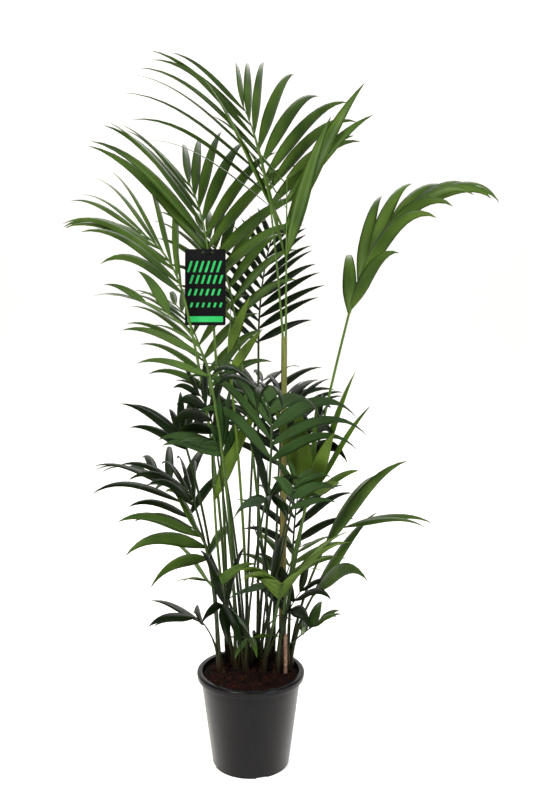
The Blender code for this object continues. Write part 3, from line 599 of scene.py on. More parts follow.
STEMS = (
    Stem("stem_left", -0.050, 0.066, 0.050),
    Stem("stem_left_front", -0.034, 0.026, 0.034),
    Stem("stem_left_back", -0.070, 0.034, 0.040),
    Stem("stem_left_low", -0.066, -0.002, 0.026),
    Stem("stem_centre_front", -0.010, 0.014, 0.028, 0.0105, 0.0100),
    Stem("stem_centre_right", 0.030, 0.038, 0.040),
    Stem("stem_centre", -0.004, 0.044, 0.032),
    Stem("stem_middle", 0.016, 0.072, 0.060),
    Stem("stem_right", 0.058, 0.000, 0.036),
    Stem("stem_right_front", 0.026, 0.004, 0.028),
    Stem("stem_right_side", 0.086, 0.020, 0.032),
    Stem("stem_right_tall", 0.073, 0.050, 0.770, 0.0105, 0.0063, 0.002),
    Stem("stem_back", 0.046, 0.076, 0.050),
    Stem("stem_back_left", -0.018, 0.088, 0.046),
)
FRONDS = (
    # The high fronds.
    Frond(
        "frond_top", "stem_right_tall", 112, 11, 0.275, 0.25, bow=7, arch=13, drift=34, leaflet=0.41,
        spread=(48, 26), lift=-2, droop=50, roll=2, girth=0.72, pitch=(-68, 0), seat=70,
    ),
    Frond(
        "frond_top_right", "stem_right_tall", 88, 2, 0.16, 0.19, bow=8, arch=20, pairs=4, leaflet=0.42,
        spread=(14, 42), lift=8, droop=30, roll=-12, width=1.15, girth=0.72, pitch=(-60, 0), seat=-90,
    ),
    Frond(
        "frond_back_comb", "stem_middle", 90, 18, 0.70, 0.32, arch=10, drift=-22, pairs=9, leaflet=0.20,
        spread=(58, 28), lift=14, droop=26, roll=-14, tone=Tone.DEEP,
    ),
    Frond(
        "frond_left_tall", "stem_left", 115, 3, 0.82, 0.26, bow=6, arch=36, drift=13, leaflet=0.39,
        spread=(54, 21), lift=7, droop=42, roll=-9,
    ),
    Frond(
        "frond_far_left", "stem_left", 183, 0, 0.78, 0.21, arch=50, drift=8, leaflet=0.34, spread=(52, 17),
        lift=-3, droop=52, roll=26,
    ),
    Frond(
        "frond_left_low_arch", "stem_left_front", 258, 1, 0.70, 0.27, bow=30, arch=40, drift=-54, pairs=6,
        leaflet=0.19, spread=(62, 13), lift=32, droop=48, roll=-27,
    ),
    Frond(
        "frond_right_long", "stem_right", 11, 8, 0.79, 0.35, bow=6, arch=58, drift=-16, pairs=6,
        leaflet=0.27, spread=(28, 8), lift=6, droop=84, roll=-8, width=1.3, pitch=(-45, 45),
    ),
    # Young bright ones.
    Frond(
        "frond_left_lance", "stem_left_front", 186, 10, 0.37, 0.02, bow=-8, arch=0, drift=8, pairs=1,
        leaflet=0.37, spread=(15, 7), lift=21, droop=26, width=1.5, tone=Tone.FRESH,
    ),
    Frond(
        "frond_right_bright", "stem_right", -40, 6, 0.39, 0.03, arch=51, drift=-22, pairs=4, leaflet=0.32,
        spread=(32, 11), lift=47, droop=26, roll=-6, width=1.35, seat=-20, tone=Tone.FRESH,
    ),
    Frond(
        "frond_front_bright", "stem_right_front", -61, 24, 0.18, 0.06, bow=-4, arch=29, drift=-31, pairs=5,
        leaflet=0.25, spread=(32, 33), lift=3, droop=62, roll=-13, width=0.95, tone=Tone.FRESH,
    ),
    Frond(
        "frond_centre_bright", "stem_centre", -104, 4, 0.69, 0.11, bow=15, arch=16, drift=27, pairs=3,
        leaflet=0.19, spread=(30, 10), lift=14, droop=9, roll=39, tone=Tone.FRESH,
    ),
    # The middle and low ones.
    Frond(
        "frond_centre_dark", "stem_middle", -81, 23, 0.49, 0.23, bow=-4, arch=43, drift=-34, pairs=6,
        leaflet=0.27, spread=(50, 15), droop=112, roll=23, width=1.35, tone=Tone.DEEP,
    ),
    Frond(
        "frond_left_fan", "stem_left_back", 139, 0, 0.47, 0.05, bow=23, arch=33, drift=-9, pairs=4,
        leaflet=0.19, spread=(41, 15), lift=7, roll=16, width=1.1, tone=Tone.DEEP,
    ),
    Frond(
        "frond_left_lower_1", "stem_left_back", 150, 0, 0.34, 0.07, bow=19, arch=67, drift=3, pairs=5,
        leaflet=0.21, spread=(41, 21), lift=-2, droop=72, roll=-10, width=1.2, seat=60, tone=Tone.DEEP,
    ),
    Frond(
        "frond_left_lower_2", "stem_left_low", 156, 1, 0.24, 0.09, bow=9, arch=56, drift=4, pairs=4,
        leaflet=0.26, spread=(73, 7), lift=-8, droop=70, roll=5, width=1.3,
    ),
    Frond(
        "frond_left_lower_3", "stem_left_low", 244, 1, 0.19, 0.03, bow=15, arch=53, drift=-26, pairs=2,
        leaflet=0.19, spread=(43, 9), lift=8, droop=51, roll=-5, width=1.3, girth=0.62,
    ),
    Frond(
        "frond_right_vee", "stem_right_side", -22, 9, 0.16, 0.04, bow=19, arch=38, drift=-6, pairs=1,
        leaflet=0.37, spread=(41, 14), lift=-3, droop=48, roll=-8, width=1.1, pitch=(-50, 50),
    ),
    Frond(
        "frond_right_lower", "stem_right_side", 26, 9, 0.26, 0.07, bow=21, arch=42, drift=-32, pairs=2,
        leaflet=0.39, spread=(30, 4), lift=-3, droop=52, roll=26, width=0.95, pitch=(-55, 55), seat=20,
    ),
    # Small ones at the foot.
    Frond(
        "frond_base_left", "stem_left_low", 189, 2, 0.10, 0.03, bow=33, arch=47, drift=-4, pairs=2,
        leaflet=0.22, spread=(50, 19), lift=-3, droop=59, roll=-23, width=1.5, girth=0.62, pitch=(40, -40),
        seat=20, tone=Tone.DEEP,
    ),
    Frond(
        "frond_base_front", "stem_centre", -94, 15, 0.05, 0.04, bow=28, arch=53, drift=-5, pairs=2,
        leaflet=0.15, spread=(64, 17), lift=12, droop=62, roll=-14, width=1.3, girth=0.62, seat=40,
    ),
    Frond(
        "frond_base_middle", "stem_middle", 265, 34, 0.05, 0.09, bow=42, arch=63, drift=22, pairs=1,
        leaflet=0.2, spread=(65, 19), lift=27, droop=36, roll=14, width=1.3, girth=0.62, seat=-40,
        tone=Tone.DEEP,
    ),
    Frond(
        "frond_base_centre", "stem_centre", -4, 21, 0.10, 0.01, bow=22, arch=56, drift=-15, pairs=2,
        leaflet=0.22, spread=(61, 14), lift=-6, droop=76, roll=26, width=1.2, girth=0.62,
    ),
    Frond(
        "frond_base_right", "stem_right", -5, 45, 0.08, 0.05, bow=4, arch=15, drift=22, pairs=3,
        leaflet=0.11, spread=(83, 10), lift=25, droop=53, roll=6, width=1.6, girth=0.62, pitch=(-40, 40),
        seat=80,
    ),
    # Dark ones among the stems.
    Frond(
        "frond_centre_low_front", "stem_centre_front", -63, 7, 0.41, 0.03, bow=14, arch=63, drift=21,
        pairs=3, leaflet=0.18, spread=(60, 20), droop=71, roll=-45, width=1.4, girth=0.8, seat=-40,
        tone=Tone.DEEP,
    ),
    Frond(
        "frond_centre_right_dark", "stem_centre_right", -66, 12, 0.39, 0.10, bow=13, arch=21, drift=-16,
        pairs=4, leaflet=0.14, spread=(56, 11), lift=4, droop=60, roll=14, width=1.4, girth=0.8,
        tone=Tone.DEEP,
    ),
    Frond(
        "frond_centre_low", "stem_centre_right", -79, 9, 0.20, 0.03, bow=28, arch=62, drift=19, pairs=3,
        leaflet=0.22, spread=(51, 11), lift=32, droop=52, roll=-58, width=1.4, girth=0.7, seat=-40,
        tone=Tone.DEEP,
    ),
    Frond(
        "frond_centre_left_dark", "stem_centre_front", -120, 5, 0.5, 0.05, arch=45, drift=15, pairs=4,
        leaflet=0.17, spread=(51, 19), lift=27, droop=60, roll=-58, width=1.5, girth=0.8, seat=-140,
        tone=Tone.DEEP,
    ),
    Frond(
        "frond_foot_left", "stem_centre_front", -121, 12, 0.16, 0.03, bow=23, arch=77, drift=6, pairs=3,
        leaflet=0.2, spread=(66, 30), lift=32, droop=61, roll=55, width=1.6, girth=0.62, seat=-40,
        tone=Tone.DEEP,
    ),
    Frond(
        "frond_foot_right", "stem_right_front", 5, 22, 0.12, 0.06, bow=5, arch=11, drift=12, pairs=3,
        leaflet=0.18, spread=(71, 25), lift=25, droop=68, roll=-21, width=1.4, girth=0.62, seat=20,
        tone=Tone.DEEP,
    ),
    Frond(
        "frond_right_dark", "stem_centre_right", -1, 12, 0.43, 0.12, bow=0, arch=18, drift=12, pairs=4,
        leaflet=0.20, spread=(85, 30), lift=13, droop=80, roll=-6, width=1.3, girth=0.8, seat=-160,
        tone=Tone.DEEP,
    ),
    Frond(
        "frond_left_dark", "stem_left_front", 216, 4, 0.53, 0.10, bow=6, arch=28, drift=-6, pairs=4,
        leaflet=0.16, spread=(66, 18), lift=7, droop=70, roll=58, width=1.4, girth=0.8, seat=120,
        tone=Tone.DEEP,
    ),
    # The back of the crown.
    Frond(
        "frond_back_tall", "stem_back", 118, 8, 0.74, 0.28, bow=10, arch=45, drift=10, leaflet=0.25,
        spread=(52, 18), droop=50,
    ),
    Frond(
        "frond_back_right", "stem_back", 84, 10, 0.40, 0.22, bow=14, arch=50, drift=-4, leaflet=0.21,
        spread=(60, 20), droop=55, seat=-60, tone=Tone.DEEP,
    ),
    Frond(
        "frond_back_left", "stem_back_left", 118, 9, 0.58, 0.28, bow=14, arch=48, drift=8, leaflet=0.23,
        spread=(60, 20), droop=50,
    ),
    Frond(
        "frond_back_middle", "stem_back_left", 85, 14, 0.44, 0.24, bow=16, arch=50, drift=-6, pairs=5,
        leaflet=0.26, spread=(60, 20), droop=55, seat=-40, tone=Tone.DEEP,
    ),
    Frond(
        "frond_back_low_right", "stem_right_side", 84, 20, 0.25, 0.18, bow=20, arch=50, pairs=5,
        leaflet=0.20, spread=(60, 20), lift=18, droop=60, seat=180, tone=Tone.DEEP,
    ),
    Frond(
        "frond_back_low_left", "stem_back_left", 140, 20, 0.30, 0.2, bow=20, arch=50, pairs=5, leaflet=0.25,
        spread=(60, 20), lift=18, droop=60, seat=60, tone=Tone.DEEP,
    ),
    Frond(
        "frond_back_foot", "stem_back", 69, 28, 0.14, 0.12, bow=20, arch=40, pairs=4, leaflet=0.19,
        spread=(60, 20), lift=18, droop=60, girth=0.62,
    ),
)


def bend(heading: float, lean: float) -> tuple[Vector, Vector, Vector]:
    """Unit vectors along, across and on the upper side of a rib at this heading and lean."""
    level = Vector((math.cos(heading), math.sin(heading), 0))
    along = math.sin(lean) * level + math.cos(lean) * UP
    upper = math.sin(lean) * UP - math.cos(lean) * level
    return along, level.cross(UP), upper


def leaflet_width(length: float) -> float:
    """Width of a leaflet of this length at its widest: the longer, the more slender."""
    most = min(LEAFLET_WIDTH_LEAST + length * LEAFLET_WIDTH_SHARE, LEAFLET_WIDTH_MOST)
    return min(most, length * LEAFLET_SLENDER)


def turns(count: int) -> list[float]:
    """Angles of points spaced evenly round a circle."""
    return [math.tau * step / count for step in range(count)]


def way_at(points: Sequence[Vector], index: int) -> Vector:
    """Which way a line of points runs at one of them."""
    before, after = points[max(index - 1, 0)], points[min(index + 1, len(points) - 1)]
    return (after - before).normalized()


def tube_shape(
    points: Sequence[Vector], radii: Sequence[float], grown: float = 0.0, sides: int = 6
) -> Shape:
    """A plain round tube, for the test of what touches what."""
    corners: list[Vector] = []
    faces: list[tuple[int, ...]] = []
    across = Vector((1, 0, 0))
    for index, (point, radius) in enumerate(zip(points, radii)):
        along = way_at(points, index)
        across = along.orthogonal() if index == 0 else across - across.dot(along) * along
        across.normalize()
        other = along.cross(across)
        for angle in turns(sides):
            arm = math.cos(angle) * across + math.sin(angle) * other
            corners.append(point + arm * (radius + grown) / math.cos(math.pi / sides))
    for index in range(len(points) - 1):
        low, high = index * sides, (index + 1) * sides
        for side in range(sides):
            after = (side + 1) % sides
            faces.append((low + side, low + after, high + after, high + side))
    return corners, faces


class Space:
    """The shapes already placed, with the name of the piece that each belongs to."""

    def __init__(self) -> None:
        """Starts with nothing placed."""
        self.taken: list[tuple[str, tuple[Vector, Vector], BVHTree]] = []

    @staticmethod
    def box(corners: Sequence[Vector]) -> tuple[Vector, Vector]:
        """Lowest and highest corner of a list of points."""
        low = Vector([min(corner[i] for corner in corners) for i in range(3)])
        high = Vector([max(corner[i] for corner in corners) for i in range(3)])
        return low, high

    def add(self, owner: str, shape: Shape) -> None:
        """Keeps a shape as taken by its owner."""
        self.taken.append((owner, self.box(shape[0]), BVHTree.FromPolygons(*shape)))

    def touches(self, owner: str, shape: Shape) -> bool:
        """Whether a shape meets one that belongs to another piece."""
        low, high = self.box(shape[0])
        tree = None
        for other, (other_low, other_high), other_tree in self.taken:
            if other == owner or any(low[i] > other_high[i] or high[i] < other_low[i] for i in range(3)):
                continue
            tree = tree or BVHTree.FromPolygons(*shape)
            if tree.overlap(other_tree):
                return True
        return False


class Buffer:
    """Points, faces, finish numbers and strip coordinates of a piece as it is put together."""

    def __init__(self) -> None:
        """Starts empty."""
        self.points: list[Vector] = []
        self.faces: list[tuple[int, ...]] = []
        self.slots: list[int] = []
        self.strips: list[tuple[float, float]] = []

    def face(self, corners: Sequence[int], slot: int, strips: Sequence[tuple[float, float]]) -> None:
        """Adds one face with its finish and its corners' strip coordinates."""
        self.faces.append(tuple(corners))
        self.slots.append(slot)
        self.strips.extend(strips)

    def loft(
        self,
        rings: Sequence[Sequence[Vector]],
        across: Sequence[float],
        along: Sequence[float],
        slots: Sequence[int],
        tip: Vector | None = None,
    ) -> None:
        """Joins rings of points, which turn anticlockwise about the way on, into a closed skin.

        Args:
            rings: The rings, each with the same number of points.
            across: Strip coordinate of each point of a ring, and of its first point again.
            along: Strip coordinate of each ring.
            slots: Finish of each side of the skin.
            tip: A last single point, where the skin ends in one.
        """
        sides, first = len(rings[0]), len(self.points)
        for ring in rings:
            self.points.extend(ring)
        for index in range(len(rings) - 1):
            low, high = first + index * sides, first + (index + 1) * sides
            for side in range(sides):
                after = (side + 1) % sides
                corners = (low + side, low + after, high + after, high + side)
                left, right = across[side], across[side + 1]
                near, far = along[index], along[index + 1]
                self.face(corners, slots[side], ((left, near), (right, near), (right, far), (left, far)))
        self.cap([first + side for side in reversed(range(sides))], slots[0], along[0])
        last = first + (len(rings) - 1) * sides
        if tip is None:
            self.cap([last + side for side in range(sides)], slots[0], along[-1])
            return
        self.points.append(tip)
        for side in range(sides):
            corners = (last + side, last + (side + 1) % sides, len(self.points) - 1)
            ends = ((across[side], along[-1]), (across[side + 1], along[-1]), (0.0, along[-1]))
            self.face(corners, slots[side], ends)

    def cap(self, corners: Sequence[int], slot: int, along: float) -> None:
        """Closes an end."""
        self.face(corners, slot, [(0.0, along)] * len(corners))

    def piece(self, name: str, materials: Sequence[Material], smooth: bool = True) -> Object:
        """Makes the object, with its strip UV map and its materials."""
        mesh = bpy.data.meshes.new(name)
        mesh.from_pydata([tuple(point) for point in self.points], [], self.faces)
        for material in materials:
            mesh.materials.append(material)
        mesh.polygons.foreach_set("material_index", self.slots)
        mesh.polygons.foreach_set("use_smooth", [smooth] * len(self.faces))
        layer = mesh.uv_layers.new(name=STRIP_UV)
        layer.data.foreach_set("uv", [value for pair in self.strips for value in pair])
        mesh.update()
        return linked(name, mesh)


def linked(name: str, data: ID) -> Object:
    """An object at the origin, in the scene's own collection."""
    piece = bpy.data.objects.new(name, data)
    bpy.context.scene.collection.objects.link(piece)
    return piece


def as_plain_mesh(piece: Object, name: str) -> Object:
    """The evaluated shape of an object as a new plain mesh object, in place of the old one."""
    graph = bpy.context.evaluated_depsgraph_get()
    mesh = bpy.data.meshes.new_from_object(piece.evaluated_get(graph))
    mesh.name = name
    bpy.data.objects.remove(piece)
    return linked(name, mesh)


def cut_by(piece: Object, name: str, cutters: Sequence[Object]) -> Object:
    """Cuts a piece, and returns the plain mesh object that is left, with the cutters removed."""
    for cutter in cutters:
        cut = piece.modifiers.new(cutter.name, "BOOLEAN")
        cut.operation, cut.solver, cut.object = "DIFFERENCE", "EXACT", cutter
    bpy.context.view_layer.update()
    left = as_plain_mesh(piece, name)
    for cutter in cutters:
        bpy.data.objects.remove(cutter)
    return left


def settle(piece: Object, replaced: Iterable[str] = ()) -> None:
    """Rides a piece on the plant's one body and the nodes that it stands for."""
    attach(piece, BODY)
    names = list(replaced)
    if names:
        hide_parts(*names)
    piece.data.calc_loop_triangles()
    LOG.info("%s: %d triangles", piece.name, len(piece.data.loop_triangles))


class ShapeTree:
    """A Geometry Nodes tree with named inputs, which is put on an object by a modifier."""

    def __init__(self, name: str, inputs: Sequence[tuple[str, str]]) -> None:
        """Makes the tree with its geometry in and out and the named inputs."""
        self.tree = bpy.data.node_groups.new(name, "GeometryNodeTree")
        face = self.tree.interface
        face.new_socket("Geometry", in_out="INPUT", socket_type="NodeSocketGeometry")
        self.keys = {
            label: face.new_socket(label, in_out="INPUT", socket_type=f"NodeSocket{kind}").identifier
            for label, kind in inputs
        }
        face.new_socket("Geometry", in_out="OUTPUT", socket_type="NodeSocketGeometry")
        self.add = partial(add_node, self.tree)
        self.start = self.add("NodeGroupInput").outputs

    def end(self, geometry: NodeSocket) -> None:
        """Realizes what the tree made, gives it its material and sends it out."""
        real = self.add("GeometryNodeRealizeInstances", None, {"Geometry": geometry})
        smooth = self.add("GeometryNodeSetShadeSmooth", None, {"Geometry": real.outputs[0]})
        dress = {"Geometry": smooth.outputs[0], "Material": self.start["Finish"]}
        dressed = self.add("GeometryNodeSetMaterial", None, dress)
        self.add("NodeGroupOutput", None, {"Geometry": dressed.outputs[0]})

    def run(self, piece: Object, name: str, values: dict) -> Object:
        """Runs the tree on an object and returns the plain mesh object that it makes."""
        modifier = piece.modifiers.new(name, "NODES")
        modifier.node_group = self.tree
        for label, value in values.items():
            modifier[self.keys[label]] = value
        return as_plain_mesh(piece, name)


def rod_tree() -> ShapeTree:
    """A tree that turns curves into round closed rods by their points' radii."""
    rods = ShapeTree("rods", [("Sides", "Int"), ("Finish", "Material")])
    round_one = {"Resolution": rods.start["Sides"], "Radius": 1.0}
    ring = rods.add("GeometryNodeCurvePrimitiveCircle", None, round_one)
    girth = rods.add("GeometryNodeInputRadius")
    swept = {
        "Curve": rods.start["Geometry"],
        "Profile Curve": ring.outputs["Curve"],
        "Scale": girth.outputs[0],
        "Fill Caps": True,
    }
    rods.end(rods.add("GeometryNodeCurveToMesh", None, swept).outputs[0])
    return rods


def curves(name: str, lines: Sequence[Line], closed: bool = False) -> Object:
    """A curve object with one spline for each line of points and radii."""
    data = bpy.data.curves.new(name, "CURVE")
    data.dimensions = "3D"
    for points, radii in lines:
        spline = data.splines.new("POLY")
        spline.points.add(len(points) - 1)
        spline.use_cyclic_u = closed
        for knot, point, radius in zip(spline.points, points, radii):
            knot.co = (*point, 1)
            knot.radius = radius
    return linked(name, data)


# A leaflet's section, from its left edge over the top and back below: how far across each point
# is, as a share of half the width, and how far up, as a share of half the thickness.
BLADE_SECTION = ((1, 0), (0.5, 1), (0, 1.5), (-0.5, 1), (-1, 0), (-0.5, -1), (0, -1.5), (0.5, -1))
BLADE_THICK = 0.00045
BLADE_WIDEST_AT = 0.34
BLADE_ROOT_WIDTH = 0.2
BLADE_TAPER = 1.7


@dataclass
class Blade:
    """How one leaflet lies: its centre line with the directions across it and out of it."""

    length: float
    width: float
    centres: list[Vector] = field(default_factory=list)
    across: list[Vector] = field(default_factory=list)
    upper: list[Vector] = field(default_factory=list)

    def half(self, share: float) -> float:
        """Half its width: narrow at the root, widest a third of the way out, with a drip tip."""
        spread = 1 - BLADE_ROOT_WIDTH
        rising = BLADE_ROOT_WIDTH + spread * math.sin(math.pi / 2 * min(share / BLADE_WIDEST_AT, 1))
        past = max(share - BLADE_WIDEST_AT, 0) ** BLADE_TAPER
        falling = 1 - past / (1 - BLADE_WIDEST_AT) ** BLADE_TAPER
        return self.width / 2 * (rising * falling)

    def ribbon(self, grown: float) -> Shape:
        """The blade as a plain strip, for the test of what touches what."""
        corners = []
        steps = len(self.centres) - 1
        for step, (centre, across) in enumerate(zip(self.centres, self.across)):
            half = self.half(step / steps) + grown
            corners += [centre - across * half, centre + across * half]
        return corners, [(2 * step, 2 * step + 1, 2 * step + 3, 2 * step + 2) for step in range(steps)]

    def into(self, buffer: Buffer, fold: float) -> None:
        """Adds the blade as a thin closed skin, ridged along its middle.

        Args:
            buffer: Where the skin goes, with finish 0 on its upper side and 1 below.
            fold: How steeply both halves fall from the midrib, which eases towards the tip.
        """
        steps = len(self.centres) - 1
        rings = []
        for step in range(steps):
            share = step / steps
            half = self.half(share)
            slope = fold * (1 - 0.6 * share)
            thick = BLADE_THICK * (1 - 0.5 * share)
            ring = []
            for reach, side in BLADE_SECTION:
                height = -slope * abs(reach) * half + side * thick / 2
                beside = self.across[step] * reach * half
                ring.append(self.centres[step] + beside + self.upper[step] * height)
            rings.append(ring)
        across = [self.width / 2 * reach for reach, _ in BLADE_SECTION + BLADE_SECTION[:1]]
        along = [self.length * step / steps for step in range(steps)]
        buffer.loft(rings, across, along, [0] * 4 + [1] * 4, self.centres[-1])


@dataclass
class Crown:
    """All the fronds: ribs and leaflets, laid by the source's rule and carried finer.

    What ends in play is how far chance may move a leaflet: degrees, or shares of its length.
    """

    petiole_steps: int = 14
    rachis_steps: int = 18
    coarse_petiole_steps: int = 4
    coarse_rachis_steps: int = 5
    leaflet_steps: int = 12
    more_pairs: float = 1.2
    long_blade: int = 7
    finer_by: float = 0.45
    lone_at: float = 0.15
    first_at: float = 0.04
    span: float = 0.92
    least_share: float = 0.02
    most_share: float = 0.99
    cuts: tuple[float, ...] = (1.0, 0.8, 0.6)
    clearance: float = 0.0006
    sunk_root: float = 0.0005
    rib_sides: int = 10
    stagger_play: float = 0.12
    spread_play: float = 3
    lift_play: float = 4
    twist_play: float = 22
    length_play: tuple[float, float] = (0.93, 1.0)
    droop_play: tuple[float, float] = (0.85, 1.15)
    width_play: tuple[float, float] = (0.88, 1.05)
    fold_play: tuple[float, float] = (0.22, 0.42)
    ribs: dict[str, list[Vector]] = field(default_factory=dict)

    def girths(self, frond: Frond) -> list[float]:
        """Girth at each point of a frond's rib."""
        return frond.radii(self.petiole_steps, self.rachis_steps)

    def place_ribs(self, space: Space) -> None:
        """Works out each rib and takes its place."""
        stems = {stem.name: stem for stem in STEMS}
        for frond in FRONDS:
            foot = frond.seat_on(stems[frond.stem])
            self.ribs[frond.name] = frond.rib(foot, self.petiole_steps, self.rachis_steps)
            space.add(frond.name, tube_shape(self.ribs[frond.name], self.girths(frond)))

    def coarse_rachis(self, frond: Frond) -> list[Vector]:
        """The rachis with as few points as its solid has, on which the tag hangs."""
        coarse = frond.rib(self.ribs[frond.name][0], self.coarse_petiole_steps, self.coarse_rachis_steps)
        return coarse[self.coarse_petiole_steps + 1 :]

    def blade(
        self,
        frond: Frond,
        share: float,
        side: int,
        turn: float,
        cut: float,
        width: float,
        chance: random.Random,
    ) -> Blade:
        """One leaflet's line, drooping under its weight and more so near its tip.

        Args:
            frond: The frond that bears it.
            share: How far up the rachis its root is, from 0 to 1.
            side: -1 on the left of the rachis and 1 on its right.
            turn: Degrees that it is turned away from a neighbour.
            cut: The share of its length that is left.
            width: Its width at its widest.
            chance: Where its small differences from the others come from.

        Returns:
            The leaflet.
        """
        rachis = self.ribs[frond.name][self.petiole_steps + 1 :]
        place = share * self.rachis_steps
        step = min(int(place), self.rachis_steps - 1)
        root = rachis[step].lerp(rachis[step + 1], place - step)
        along, across, upper = frond.frame(share)
        start, finish = frond.spread
        play = chance.uniform(-self.spread_play, self.spread_play)
        spread = math.radians(start + (finish - start) * share + turn / 2 + play)
        lift = math.radians(frond.lift + turn + chance.uniform(-self.lift_play, self.lift_play))
        outward = side * math.cos(lift) * across + math.sin(lift) * upper
        course = math.cos(spread) * along + math.sin(spread) * outward
        length = frond.leaflet_length(share) * chance.uniform(*self.length_play) * cut
        wide = (along - along.dot(course) * course).normalized() * side
        wide = Matrix.Rotation(math.radians(frond.pitch[side > 0]) * side, 3, course) @ wide
        droop = math.radians(frond.droop) * chance.uniform(*self.droop_play)
        twist = math.radians(chance.uniform(-self.twist_play, self.twist_play))
        centre = root - course * self.sunk_root
        blade = Blade(length, width * chance.uniform(*self.width_play))
        steps = self.leaflet_steps
        for step in range(steps + 1):
            turned = Matrix.Rotation(twist * step / steps, 3, course) @ wide
            blade.centres.append(centre)
            blade.across.append(turned)
            blade.upper.append(course.cross(turned))
            # A quarter of the droop is even, and the rest grows with the square of the distance.
            sink = droop / steps * (0.25 + 2.25 * ((step + 0.5) / steps) ** 2)
            course = (course - UP * sink).normalized()
            wide = (wide - wide.dot(course) * course).normalized()
            centre = centre + course * length / steps
        return blade

    def blades_of(self, frond: Frond, space: Space) -> list[Blade]:
        """A frond's leaflets, each turned and cut until it is clear, or left out."""
        pairs = frond.pairs if frond.pairs < self.long_blade else round(frond.pairs * self.more_pairs)
        finer = frond.width * (frond.pairs / pairs) ** self.finer_by
        found = []
        for pair in range(pairs):
            station = self.lone_at if pairs == 1 else self.first_at + self.span * pair / (pairs - 1)
            for side in (-1, 1):
                chance = random.Random(f"{frond.name} {pair} {side}")
                play = chance.uniform(-self.stagger_play, self.stagger_play) if pairs > 1 else 0
                share = station + (side * LEAFLET_STAGGER + play) / pairs
                share = min(max(share, self.least_share), self.most_share)
                length = frond.leaflet_length(share)
                mood = chance.getstate()
                for cut, turn in ((cut, turn) for cut in self.cuts for turn in LEAFLET_TURNS):
                    chance.setstate(mood)
                    width = leaflet_width(length * cut) * finer
                    blade = self.blade(frond, share, side, turn, cut, width, chance)
                    if not space.touches(frond.name, blade.ribbon(self.clearance)):
                        found.append(blade)
                        break
        for blade in found:
            space.add(frond.name, blade.ribbon(0.0))
        return found

    def dealt(self) -> dict[tuple[Tone, int], list[Frond]]:
        """The fronds of each tone's shades, dealt out in turn."""
        dealt: dict[tuple[Tone, int], list[Frond]] = {key: [] for key in TONE_SKINS}
        for tone in Tone:
            shades = sum(1 for key, _ in TONE_SKINS if key is tone)
            for index, frond in enumerate(frond for frond in FRONDS if frond.tone is tone):
                dealt[(tone, index % shades)].append(frond)
        return dealt

    def dress(self, space: Space, rods: ShapeTree) -> None:
        """Makes the leaflets and the ribs, a piece of each for every shade."""
        blades = {frond.name: self.blades_of(frond, space) for frond in FRONDS}
        for (tone, shade), fronds in self.dealt().items():
            skins, buffer = TONE_SKINS[(tone, shade)], Buffer()
            for frond in fronds:
                chance = random.Random(frond.name + " fold")
                for blade in blades[frond.name]:
                    blade.into(buffer, chance.uniform(*self.fold_play))
            label = f"{tone.value}_{shade + 1}"
            leaflets = buffer.piece("leaflets_" + label, skins.materials())
            settle(leaflets, [frond.name for frond in fronds])
            lines = [(self.ribs[frond.name], self.girths(frond)) for frond in fronds]
            values = {"Sides": self.rib_sides, "Finish": PETIOLE_SKINS[tone].material()}
            name = "ribs_" + label
            settle(rods.run(curves(name + "_lines", lines), name, values))
        LOG.info("%d leaflets", sum(len(found) for found in blades.values()))


